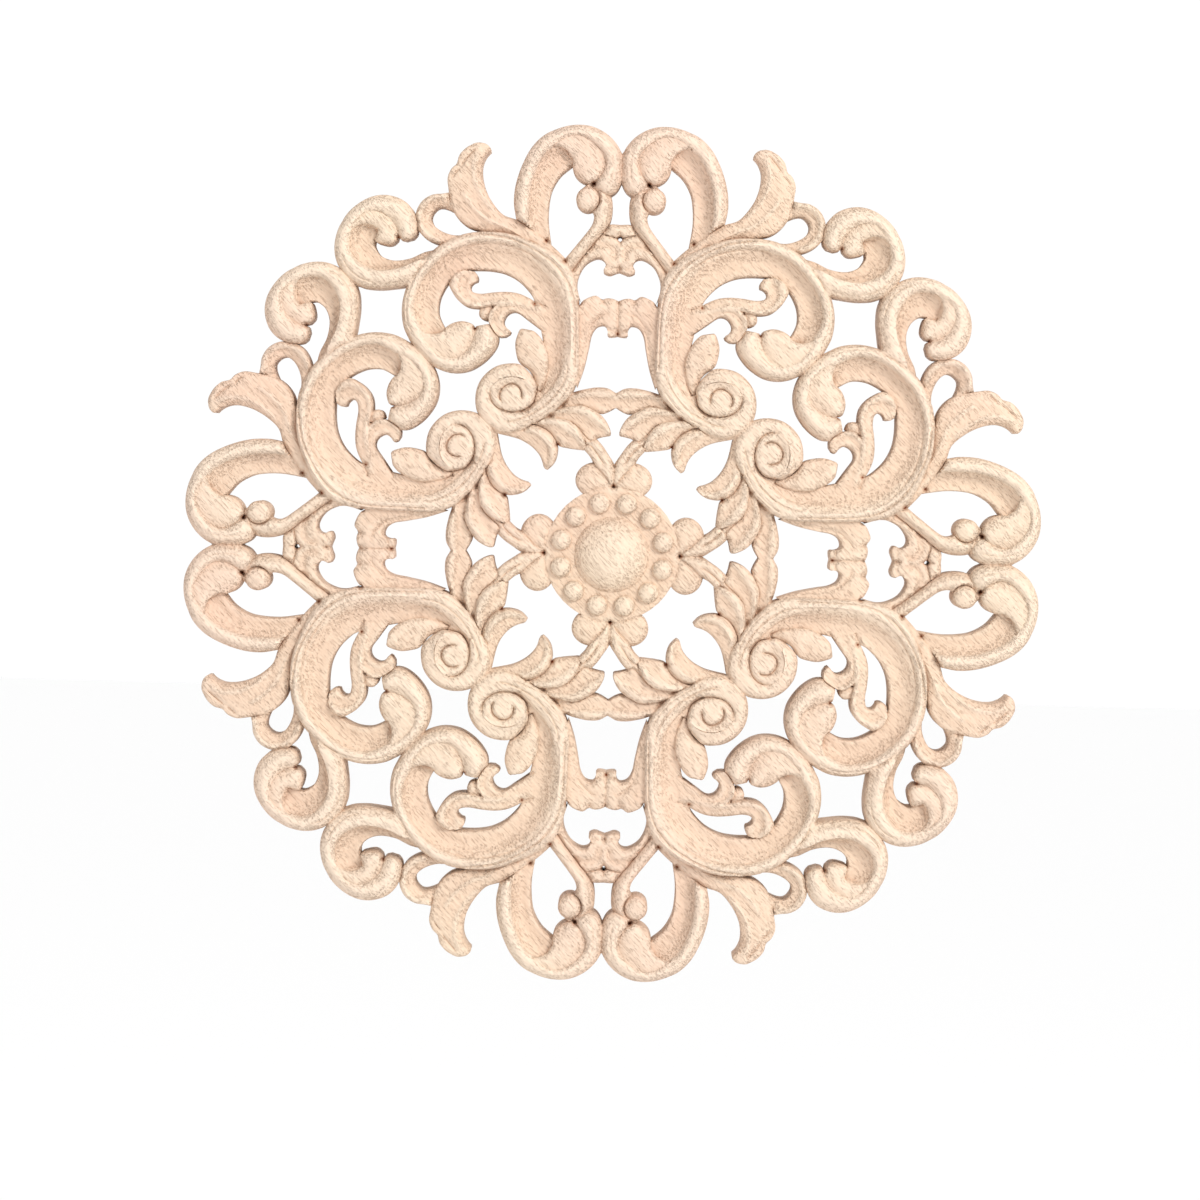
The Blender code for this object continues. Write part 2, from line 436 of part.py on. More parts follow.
def lay_out(patches):
    """The visible facet lines of all patches, as points and edges."""
    reach = 1.2 * DRAWN_DIAMETER / 2
    sector = np.array([(0.0, 0.0), (0.0, reach), (reach, reach)])
    points = [tuple(spot) for spot in sector]
    edges = [(0, 1), (0, 2)]
    for patch in patches:
        over = [other.outline for other in patches if other.layer > patch.layer]
        beside = [other.outline for other in patches if other.layer == patch.layer and other is not patch]
        rings = [np.vstack([outline, outline[:1]]) for outline in over]
        for line, is_rail in [(rail, True) for rail in patch.rails] + [(line, False) for line in patch.lines]:
            line = snapped(line, SNAP)
            if not is_rail and rings:
                near = np.min([distance(line, ring) for ring in rings], axis=0) < CLEAR
                line = line[~near | np.any([inside(line, outline) for outline in over], axis=0)]
            for start, end in zip(line[:-1], line[1:]):
                cuts = split(start, end, over + [sector])
                for a, b in zip(cuts[:-1], cuts[1:]):
                    middle = (a + b)[None] / 2
                    hidden = any(inside(middle, outline)[0] for outline in over)
                    if is_rail:
                        hidden |= any(
                            inside(middle, outline)[0] and distance(middle, outline)[0] > CLEAR
                            for outline in beside
                        )
                    if not hidden and in_sector(middle, 1e-6)[0] and np.linalg.norm(b - a) > SAME_POINT:
                        edges.append((len(points), len(points) + 1))
                        points += [tuple(a), tuple(b)]
        for spot in snapped(patch.spots, SNAP) if len(patch.spots) else []:
            if in_sector(spot[None], 1e-6)[0] and not any(inside(spot[None], outline)[0] for outline in over):
                points.append(tuple(spot))
    return points, edges


def covered(spots, patches):
    """For each spot, the layer on top there, or -1 where it is a hole."""
    top = np.full(len(spots), -1)
    for patch in patches:
        top = np.where(inside(spots, patch.outline), np.maximum(top, patch.layer), top)
    return np.where(in_sector(spots, 0), top, -1)


def height_at(x, y, layer, patches):
    """Height of a layer: the highest of its patches that reach this spot."""
    spot = np.array([[x, y]])
    found = []
    for patch in patches:
        if patch.layer == layer:
            gap = 0 if inside(spot, patch.outline)[0] else patch.tree.find_nearest((x, y, 0))[3]
            found.append((gap, patch.height(x, y)))
    reach = min(gap for gap, _ in found) + SAME_GAP
    return max(z for gap, z in found if gap <= reach)


def pieces_of(triangles):
    """Which connected piece each triangle belongs to, joined along edges."""
    piece = np.arange(len(triangles))
    sides = {}
    for i, triangle in enumerate(triangles):
        for j in range(3):
            sides.setdefault(frozenset((triangle[j], triangle[j - 1])), []).append(i)
    changed = True
    while changed:
        changed = False
        for pair in sides.values():
            least = min(piece[i] for i in pair)
            for i in pair:
                if piece[i] != least:
                    piece[i] = least
                    changed = True
    return piece


def slits(spots, triangles, empty):
    """Which triangles lie in gaps too small to cut, between strokes that are meant to touch."""
    a, b, c = (spots[triangles[:, i]] for i in range(3))
    area = np.abs((b - a)[:, 0] * (c - a)[:, 1] - (b - a)[:, 1] * (c - a)[:, 0]) / 2
    piece = np.full(len(triangles), -1)
    piece[empty] = pieces_of(triangles[empty])
    sizes = np.bincount(piece[empty], area[empty], minlength=1)
    return empty & (sizes[np.maximum(piece, 0)] < SMALLEST_GAP)


def outer_edges(triangles):
    """The edges with a triangle on one side only, each in the direction of its triangle."""
    directed = {(t[j], t[(j + 1) % 3]) for t in triangles for j in range(3)}
    return [(a, b) for a, b in directed if (b, a) not in directed]


def trimmed(triangles):
    """The largest connected piece, without corners where it would touch itself at a single point."""
    while True:
        piece = pieces_of(triangles)
        kept = np.bincount(piece).argmax()
        triangles = triangles[piece == kept]
        starts = [a for a, _ in outer_edges(triangles)]
        pinched = sorted({a for a in starts if starts.count(a) > 1})
        if not pinched:
            return triangles
        spare = [i for i, t in enumerate(triangles) if pinched[0] in t]
        edges = {frozenset(e) for e in outer_edges(triangles)}
        worst = max(spare, key=lambda i: sum(frozenset((triangles[i][j], triangles[i][j - 1])) in edges
                                             for j in range(3)))
        triangles = np.delete(triangles, worst, axis=0)


def anticlockwise(spots, triangles):
    """The triangles, all turned the same way round."""
    a, b, c = (spots[triangles[:, i]] for i in range(3))
    turned = (b - a)[:, 0] * (c - a)[:, 1] < (b - a)[:, 1] * (c - a)[:, 0]
    return np.where(turned[:, None], triangles[:, ::-1], triangles)


def plane_height(x, y, corners):
    """(height, share outside) of the plane through three corners at a spot in plan."""
    (ax, ay, az), (bx, by, bz), (cx, cy, cz) = corners
    area = (bx - ax) * (cy - ay) - (cx - ax) * (by - ay)
    u = ((x - ax) * (cy - ay) - (cx - ax) * (y - ay)) / area
    v = ((bx - ax) * (y - ay) - (x - ax) * (by - ay)) / area
    return az + u * (bz - az) + v * (cz - az), max(-u, -v, u + v - 1)


class Sheet:
    """A sheet of facets that gives up its least needed points first."""

    def __init__(self, points, triangles):
        self.points = [tuple(map(float, p)) for p in points]
        self.facets = {i: tuple(map(int, t)) for i, t in enumerate(triangles)}
        self.at = [set() for _ in points]
        for i, facet in self.facets.items():
            for corner in facet:
                self.at[corner].add(i)
        self.lost = [[] for _ in points]
        self.fixed = self.rim_points()

    def rim_edges(self):
        return [(a, b) for a, b in outer_edges(list(self.facets.values())) if not self.mirror_line(a, b)]

    def rim_points(self):
        return {corner for edge in self.rim_edges() for corner in edge}

    def mirror_line(self, a, b):
        """Whether two points lie on the same mirror line."""
        (ax, ay, _), (bx, by, _) = self.points[a], self.points[b]
        return (ax == 0 and bx == 0) or (ax == ay and bx == by)

    def around(self, point):
        return {corner for i in self.at[point] for corner in self.facets[i]} - {point}

    def shape(self, corners):
        """How well shaped a facet is in plan: its area over that of a square on its longest side."""
        (ax, ay, _), (bx, by, _), (cx, cy, _) = corners
        sides = ((bx - ax, by - ay), (cx - bx, cy - by), (ax - cx, ay - cy))
        longest = max(x * x + y * y for x, y in sides)
        return ((bx - ax) * (cy - ay) - (cx - ax) * (by - ay)) / 2 / max(longest, 1e-12)

    def rim_side(self, point, other):
        """Whether the edge between two points is part of the outline or of a hole."""
        alone = len(self.at[point] & self.at[other]) == 1
        return other in self.fixed and alone and not self.mirror_line(point, other)

    def cost(self, gone, kept):
        """How far the sheet would move if one point went into a neighbour, or None where it may not."""
        x, y, z = self.points[gone]
        on_rim, on_mirror = gone in self.fixed, x == 0 or x == y
        if on_mirror and (on_rim or y == 0 or not self.mirror_line(gone, kept)):
            return None
        shared = self.at[gone] & self.at[kept]
        if on_rim and not self.rim_side(gone, kept):
            return None
        if len(self.around(gone) & self.around(kept)) != len(shared):
            return None
        before = min(self.shape([self.points[c] for c in self.facets[i]]) for i in self.at[gone])
        fans = [
            [self.points[kept if corner == gone else corner] for corner in self.facets[i]]
            for i in self.at[gone] - shared
        ]
        if not fans or min(self.shape(corners) for corners in fans) < min(SLIMMEST, before):
            return None
        moved = 0.0
        for px, py, pz in self.lost[gone] + [(x, y, z)]:
            height, outside = min((plane_height(px, py, corners) for corners in fans), key=lambda found: found[1])
            if outside < OUTSIDE:
                moved = max(moved, abs(height - pz))
        if on_rim:
            others = [c for c in self.around(gone) if c != kept and self.rim_side(gone, c)]
            ends = [c for c in self.around(kept) if c != gone and self.rim_side(kept, c)]
            if len(others) != 1:
                return None
            line = np.array([self.points[c][:2] for c in others + [kept] + ends[:1]])
            near = [self.points[gone]] + self.lost[gone] + self.lost[kept] + self.lost[others[0]]
            strayed = distance(np.array([p[:2] for p in near]), line).max()
            moved = (RELIEF_WEIGHT * moved + RIM_WEIGHT * strayed) / 2
        else:
            moved *= RELIEF_WEIGHT
        return moved

    def facets_in_all(self):
        """Facets of the solid: the sheet, two for each step of its wall, and about one of the back."""
        return len(self.facets) + 3 * len(self.rim_edges())

    def simplify(self, wanted):
        best = {}
        stale = {corner for facet in self.facets.values() for corner in facet}
        left = self.facets_in_all()
        while left > wanted:
            for point in stale:
                if self.at[point]:
                    costs = [(self.cost(point, other), other) for other in self.around(point)]
                    costs = [c for c in costs if c[0] is not None]
                    best[point] = min(costs) if costs else None
                else:
                    best[point] = None
            choices = [(c[0], p, c[1]) for p, c in best.items() if c]
            if not choices:
                break
            _, gone, kept = min(choices)
            stale = self.around(gone) | self.around(kept)
            self.lost[kept] += self.lost[gone] + [self.points[gone]]
            for i in list(self.at[gone]):
                facet = self.facets[i]
                for corner in facet:
                    self.at[corner].discard(i)
                if kept in facet:
                    del self.facets[i]
                    continue
                self.facets[i] = tuple(kept if corner == gone else corner for corner in facet)
                for corner in self.facets[i]:
                    self.at[corner].add(i)
            left -= 4 if gone in self.fixed else 2
            stale |= {corner for point in list(stale) if self.at[point] for corner in self.around(point)}
            stale.add(gone)


def tidied(points, triangles):
    """The points that are used, and the triangles renumbered for them."""
    used = sorted({i for t in triangles for i in t})
    new = {old: i for i, old in enumerate(used)}
    return np.array(points)[used], np.array([[new[i] for i in t] for t in triangles])


def make_sector():
    """The sector's solid, as points and triangles, with no walls along the two mirror lines."""
    patches = make_patches()
    points, edges = lay_out(patches)
    spots, _, triangles, *_ = delaunay_2d_cdt([Vector(p) for p in points], edges, [], 0, SAME_POINT)
    spots = snapped([tuple(p) for p in spots], SAME_POINT)
    triangles = anticlockwise(spots, np.array(triangles))
    triangles = triangles[in_sector(spots[triangles].mean(axis=1), 0)]
    tops = covered(spots[triangles].mean(axis=1), patches)
    spots, triangles = tidied(spots, trimmed(triangles[(tops >= 0) | slits(spots, triangles, tops < 0)]))
    layers = [set() for _ in spots]
    for triangle, top in zip(triangles, covered(spots[triangles].mean(axis=1), patches)):
        for i in triangle:
            layers[i] |= {top.item()} - {-1}
    every = {patch.layer for patch in patches}
    heights = [
        min(height_at(*spots[i], layer, patches) for layer in layers[i] or every) for i in range(len(spots))
    ]

    sheet = Sheet(np.column_stack([spots, heights]), triangles)
    sheet.simplify(SECTOR_FACETS)
    top, triangles = tidied(sheet.points, list(sheet.facets.values()))
    spots = top[:, :2]

    rim = outer_edges(triangles)
    base = sorted({i for edge in rim for i in edge})
    under = {i: j for j, i in enumerate(base)}
    flat = [Vector(spots[i]) for i in base]
    floor, _, below, *_ = delaunay_2d_cdt(flat, [(under[a], under[b]) for a, b in rim], [], 1, 1e-6)
    floor = snapped([tuple(p) for p in floor], SAME_POINT)
    below = anticlockwise(floor, np.array(below))
    ends = np.array(rim)
    below = below[enclosed(floor[below].mean(axis=1), spots[ends[:, 0]], spots[ends[:, 1]])]

    points = [tuple(p) for p in top] + [(x, y, 0.0) for x, y in floor]
    faces = [tuple(t) for t in triangles] + [tuple(len(spots) + i for i in t[::-1]) for t in below]
    for a, b in rim:
        on_axis = spots[a][0] == 0 and spots[b][0] == 0
        on_diagonal = spots[a][0] == spots[a][1] and spots[b][0] == spots[b][1]
        if not on_axis and not on_diagonal:
            low_a, low_b = len(spots) + under[a], len(spots) + under[b]
            faces += [(b, a, low_a), (b, low_a, low_b)]
    return points, faces


def mirrored(points, faces):
    """The whole rosette from the sector: its points are joined where they meet on the mirror lines."""
    index, spots, solid = {}, [], []
    for swap in (False, True):
        for across in (1, -1):
            for up in (1, -1):
                names = []
                for x, y, z in points:
                    if swap:
                        x, y = y, x
                    key = (round(across * x, 5) + 0.0, round(up * y, 5) + 0.0, round(z, 5))
                    if key not in index:
                        index[key] = len(spots)
                        spots.append((across * x * PLAN, up * y * PLAN, z))
                    names.append(index[key])
                flip = (across * up < 0) != swap
                for face in faces:
                    corners = [names[i] for i in face]
                    solid.append(corners[::-1] if flip else corners)
    return spots, solid


def wood():
    material = bpy.data.materials.new("wood")
    material.use_nodes = True
    shader = material.node_tree.nodes["Principled BSDF"]
    shader.inputs["Base Color"].default_value = (0.79, 0.62, 0.47, 1)
    shader.inputs["Roughness"].default_value = 0.6
    return material


def main():
    for old in list(bpy.data.objects):
        bpy.data.objects.remove(old)
    spots, faces = mirrored(*make_sector())
    mesh = bpy.data.meshes.new("rosette")
    mesh.from_pydata([(x * MM, -z * MM, y * MM) for x, y, z in spots], [], faces)
    mesh.materials.append(wood())
    mesh.shade_smooth()
    mesh.set_sharp_from_angle(angle=SHARP_ANGLE)
    rosette = bpy.data.objects.new("rosette", mesh)
    bpy.context.scene.collection.objects.link(rosette)
    print(f"rosette: {len(spots)} points, {len(faces)} triangles")


main()
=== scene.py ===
# %% [markdown]
# # A carved rosette
# This lesson dresses a small openwork rosette, carved from one board of pale wood, 120 mm across and 8 mm
# thick. The engineering model is already there as a fixed frame. Here the same solid gets its finer
# carving: rounded crests, hollow troughs, overlapping leaves, thin fillets and the open pores of the wood.
# The first cell loads the frame and keeps the size that the visible piece has to fit.

import math

import bpy
import numpy as np
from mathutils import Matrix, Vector
from mathutils.bvhtree import BVHTree
from mathutils.geometry import barycentric_transform, delaunay_2d_cdt
from mathutils.kdtree import KDTree


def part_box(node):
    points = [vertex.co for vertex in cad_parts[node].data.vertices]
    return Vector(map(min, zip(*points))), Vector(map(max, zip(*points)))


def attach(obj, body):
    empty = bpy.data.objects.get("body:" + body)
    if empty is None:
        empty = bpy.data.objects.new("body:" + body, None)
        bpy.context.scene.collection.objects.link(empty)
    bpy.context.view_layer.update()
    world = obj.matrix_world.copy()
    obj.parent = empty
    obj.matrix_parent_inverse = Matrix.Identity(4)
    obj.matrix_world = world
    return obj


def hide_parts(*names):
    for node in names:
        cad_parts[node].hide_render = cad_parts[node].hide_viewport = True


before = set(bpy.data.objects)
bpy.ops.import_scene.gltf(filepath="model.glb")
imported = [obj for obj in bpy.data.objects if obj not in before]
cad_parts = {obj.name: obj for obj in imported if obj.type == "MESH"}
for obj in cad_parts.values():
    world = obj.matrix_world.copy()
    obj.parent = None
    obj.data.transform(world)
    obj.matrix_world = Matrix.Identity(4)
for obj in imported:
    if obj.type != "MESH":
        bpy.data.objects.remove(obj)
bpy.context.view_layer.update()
LOW_CORNER, HIGH_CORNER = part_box("rosette")
size_mm = [round(1000 * (high - low), 1) for low, high in zip(LOW_CORNER, HIGH_CORNER)]
print("frame:", list(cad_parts), "box", size_mm, "mm")

# %% [markdown]
# ## Camera
# The rosette was seen almost straight on, from about 60 cm, and turned by a degree and a half in the
# picture. The lens is long, so that nothing bulges. Solving for the camera from the outline gives better
# values than trying by eye: place, turn and lens all change the same outline, and only one set fits it
# everywhere.

# %% Camera
CAMERA_PLACE = (0.00088, -0.60683, 0.01459)
CAMERA_TURN = (88.0, -1.504, 0.279)
LENS_MM = 128.7
SENSOR_MM = 36.0


def add_object(name, data):
    """A new object in the scene."""
    made = bpy.data.objects.new(name, data)
    bpy.context.scene.collection.objects.link(made)
    return made


camera_data = bpy.data.cameras.new("camera")
camera_data.lens = LENS_MM
camera_data.sensor_width = SENSOR_MM
camera_data.sensor_fit = "HORIZONTAL"
camera = add_object("camera", camera_data)
camera.location = CAMERA_PLACE
camera.rotation_euler = [math.radians(angle) for angle in CAMERA_TURN]
bpy.context.scene.camera = camera
print("camera", round(camera.location.length, 3), "m away, lens", LENS_MM, "mm")

# %% [markdown]
# ## Light
# Carving is read by its shadows, but this one hangs in very soft light: a bright white room does most of
# the work, and one large lamp at the upper right gives the slopes that face it a little more. A small or
# strong lamp would draw black shadows into the troughs, which the pale wood never shows.

# %% Light
ROOM_LIGHT = 0.6
WHITE_OF_ROOM = 1.02
LAMP_PLACE = (0.62, -0.75, 0.55)
LAMP_SIZE = 0.35
LAMP_WATTS = 4.6
LAMP_COLOUR = (1.0, 0.97, 0.93)

room = bpy.data.worlds.new("white room")
room.use_nodes = True
room.node_tree.nodes["Background"].inputs["Color"].default_value = (1, 1, 1, 1)
room.node_tree.nodes["Background"].inputs["Strength"].default_value = ROOM_LIGHT
bpy.context.scene.world = room
bpy.context.scene.view_settings.view_transform = "Standard"
bpy.context.scene.view_settings.exposure = math.log2(WHITE_OF_ROOM / ROOM_LIGHT)

lamp_data = bpy.data.lights.new("large lamp", "AREA")
lamp_data.shape = "DISK"
lamp_data.size = LAMP_SIZE
lamp_data.energy = LAMP_WATTS
lamp_data.color = LAMP_COLOUR
lamp = add_object("large lamp", lamp_data)
lamp.location = LAMP_PLACE
lamp.rotation_euler = (-Vector(LAMP_PLACE)).to_track_quat("-Z", "Y").to_euler()
print("lamp", round(Vector(LAMP_PLACE).length, 2), "m away")

# %% [markdown]
# ## Floor
# Around the rosette there is only the white room, and the floor is a plain white sheet, far below. It is
# so wide that its edges are hardly seen, and matt, so that the lamp leaves no spot on it.

# %% Floor
FLOOR_DROP = 0.30
FLOOR_HALF = 6.0
PAPER_WHITE = 0.96
PAPER_ROUGHNESS = 0.9

paper = bpy.data.materials.new("white paper")
paper.use_nodes = True
paper_inputs = paper.node_tree.nodes["Principled BSDF"].inputs
paper_inputs["Base Color"].default_value = (PAPER_WHITE, PAPER_WHITE, PAPER_WHITE, 1)
paper_inputs["Roughness"].default_value = PAPER_ROUGHNESS
floor_z = LOW_CORNER[2] - FLOOR_DROP
corners = [(x * FLOOR_HALF, y * FLOOR_HALF, floor_z) for x, y in ((-1, -1), (1, -1), (1, 1), (-1, 1))]
floor_mesh = bpy.data.meshes.new("floor")
floor_mesh.from_pydata(corners, [], [(0, 1, 2, 3)])
floor_mesh.materials.append(paper)
floor = add_object("floor", floor_mesh)
print("floor", round(floor_z, 3), "m")

# %% [markdown]
# ## Heights of the carving
# The carver starts from a flat board and cuts down, so the main heights are written as depths below its
# face: the crests of the bands stay almost at the face, the beads lie lower, the plate and the troughs
# lowest. Everything from here to the Geometry Nodes tree is in millimetres, in the plan of the rosette: x
# to the right, y up, and the height above the flat back.

# %% Heights
BOARD = 8.0
RIM = BOARD - 0.3
TROUGH = BOARD - 2.4
PLATE = BOARD - 2.3
BEAD = BOARD - 1.2
DOME = BOARD - 0.1
print("crests at", RIM, "beads at", BEAD, "plate at", PLATE, "troughs at", TROUGH)

# %% [markdown]
# ## Cross-sections
# Cut across, a scroll is a raised band with a crisp lip beside a wide hollow, a leaf has a ridge near one
# edge and a hollow beside it, and a volute is a round rib. Each section is a short list of knots: the
# place between the rails, the height there, and the way to the next knot. "early" climbs or drops at once
# and then levels out, "late" stays level and then turns down, and "ease" does both softly. Three such ways
# give round crests, hollow floors and crisp feet. Sections of one kind share their places and ways, and
# differ in their heights.

# %% Kinds of cross-section
CREST_PLACE = 0.66
LIP_PLACE = 0.98
LIP_FOOT = 1.09


def arch(first, crest, last, place=0.45):
    """A low arch: height of the first edge, of the crest and of the last edge."""
    return [(0, first, "early"), (place, crest, "late"), (1, last, "ease")]


def band(*heights, shoulder=0.3):
    """A band with its lip, and the trough beside it."""
    places = (0, shoulder, CREST_PLACE, LIP_PLACE, LIP_FOOT, 1.6, 2)
    return list(zip(places, heights, ("early", "ease", "late", "early", "early", "ease", "ease")))


def leaf(*heights):
    """The ridge of a leaf near its first edge, and the hollow beside it."""
    return list(zip((0, 0.2, 0.58, 1), heights, ("early", "ease", "ease", "ease")))


def twisted(places, *heights):
    """A twig: a shoulder, a hollow and a rib near the last edge, at the three places."""
    return list(zip((0, *places, 1), heights, ("early", "ease", "ease", "late", "ease")))


def stalk(*heights):
    """A stem with a shallow groove along its middle."""
    return list(zip((0, 0.28, 0.5, 0.75, 1), heights, ("early", "late", "early", "late", "ease")))


def rib(*heights):
    """The round rib of a volute."""
    return list(zip((0, 0.3, CREST_PLACE, 1), heights, ("early", "ease", "late", "early")))


print("a leaf's section has", len(leaf(0, 1, 0, 0)), "knots, a band's", len(band(*[0] * 7)))

# %% [markdown]
# ## Sections of this rosette
# Here are the heights themselves, in millimetres above the back. Ends and tips of a form are lower than
# its middle, because a carver lets each leaf or hook run down into the wood beside it.

# %% Cross-sections
SCROLL_BAND = band(6.9, 7.5, 7.6, 7.05, 6.8, TROUGH + 0.2, TROUGH + 0.3)
SCROLL_FOOT = band(6.7, 7.2, 7.2, 6.9, 6.85, 6.4, 6.2)
STEPPED_BAND = band(6.5, 7.5, RIM, 7.4, 6.55, TROUGH + 0.1, TROUGH + 0.3, shoulder=0.4)
BURIED_BAND = band(5.3, 5.5, 5.6, 5.5, 5.4, 5.3, 5.3, shoulder=0.4)
HOOK_ROOT = arch(6.5, RIM, 7.2, CREST_PLACE)
HOOK = arch(6.5, 7.6, 6.85, 0.5)
HOOK_END = arch(6.3, 6.9, 6.4, 0.5)
BULB_ROOT = arch(7.2, 7.25, 7.0, 0.5)
BULB = arch(6.75, 7.25, 6.5, 0.5)
BULB_END = arch(6.1, 6.5, 6.3, 0.5)
BULB_SECTIONS = {0: BULB_ROOT, 2: BULB_ROOT, 5: BULB, 7: BULB, 8: BULB_END}
FIRST_LEAF = leaf(5.6, 6.4, 5.75, 5.9)
SECOND_LEAF = leaf(6.3, 6.85, 6.15, 6.2)
SECOND_TIP = leaf(5.7, 6.3, 5.95, 5.9)
THIRD_LEAF = leaf(6.7, 7.2, 6.5, 6.3)
THIRD_TIP = leaf(6.1, 6.45, 6.15, 6.0)
LEAF_TIP = arch(5.9, 6.1, 5.8)
SIDE_LEAF = arch(6.5, 6.8, 6.3)
SPUR = arch(6.0, 6.4, 6.0, 0.6)
SPUR_TIP = arch(5.8, 6.0, 5.8, 0.6)
TWIG = twisted((0.3, 0.62, 0.86), 6.1, 6.5, 6.15, 6.9, 6.5)
TWIG_TIP = twisted((0.3, 0.62, 0.86), 5.9, 6.2, 6.2, 6.3, 6.0)
SPRIG = twisted((0.25, 0.5, 0.8), 6.2, 6.55, 6.4, 6.9, 6.4)
SPRIG_CURL = twisted((0.25, 0.5, 0.83), 6.2, 6.35, 6.1, 6.9, 6.5)
FROM_TROUGH = twisted((0.3, 0.5, 0.85), 5.8, 5.85, 5.85, 5.9, 5.8)
CURL_FOOT = arch(6.1, 6.7, 6.3, 0.6)
CURL_STEM = arch(5.7, 7.2, 6.6, 0.6)
CURL_TURN = arch(5.9, 7.3, 6.7, 0.6)
CURL_END = arch(6.2, 6.9, 6.8)
BRIDGE = arch(5.9, 6.3, 6.1, 0.5)
LOWER_BRIDGE = arch(6.6, 6.4, 6.0, 0.5)
BRIDGE_END = arch(6.5, 6.6, 6.5, 0.5)
FLAME = arch(6.2, 6.5, 6.2, 0.4)
LOOP = [(0, 6.5, "early"), (0.22, 6.95, "late"), (0.5, 6.2, "ease"), (1, 6.0, "ease")]
TAIL = [(0, 6.2, "early"), (0.35, 7.0, "early"), (0.75, 6.3, "ease"), (1, 6.2, "ease")]
TAIL_TIP = [(0, 5.9, "early"), (0.45, 6.2, "early"), (0.75, 6.0, "ease"), (1, 5.9, "ease")]
STEM = stalk(6.0, 6.5, 6.3, 6.45, 6.0)
STEM_FOOT = stalk(5.9, 6.15, 6.05, 6.1, 5.9)
VOLUTE_ROOT = rib(6.7, 7.2, 7.2, 6.9)
VOLUTE_RING = rib(6.6, 7.25, 7.2, 6.85)
VOLUTE_TURN = rib(6.6, 7.1, 7.2, 7.0)
print("the second leaf is", max(height for _, height, _ in SECOND_LEAF), "mm high at its ridge")

# %% [markdown]
# ## Reading a section
# A gouge leaves curved cuts, so the height between two knots follows a quarter or a half of a cosine wave,
# not a straight line. Between two stations one section turns slowly into the next.

# %% Heights along a section
EASES = {
    "early": lambda t: np.sin(np.pi * t / 2),
    "late": lambda t: 1 - np.cos(np.pi * t / 2),
    "ease": lambda t: (1 - np.cos(np.pi * t)) / 2,
}


def section_height(knots, places):
    """Heights of a section at an array of places."""
    heights = np.full(len(places), float(knots[-1][1]))
    for (start, low, kind), (end, high, _) in zip(knots[:-1], knots[1:]):
        span = (places >= start) & (places <= end)
        heights[span] = low + (high - low) * EASES[kind]((places[span] - start) / (end - start))
    return heights


def mixed(sections, place):
    """The section part way between the stations that have one."""
    stations = sorted(sections)
    knots = []
    for same in zip(*(sections[station] for station in stations)):
        where, height = (np.interp(place, stations, [knot[i] for knot in same]) for i in (0, 1))
        knots.append((where, height, same[0][2]))
    return knots


print("middle of the second leaf:", round(section_height(SECOND_LEAF, np.array([0.5]))[0], 2), "mm")

# %% [markdown]
# ## The drawing: bridges and heart scroll
# The rosette repeats one drawing eight times, mirrored, and the table holds one eighth, between the
# upright axis and the diagonal. A carver would lay it out as strokes, and so does the table. Each stroke
# has a name, a layer, a row of stations, and its sections by the number of the station. A station gives x,
# y for two rails, or for three where a band stands beside its trough. Strokes of a higher layer lie over
# lower ones. The first strokes are the two bridges that join neighbouring scrolls, and the heart scroll at
# the rim.

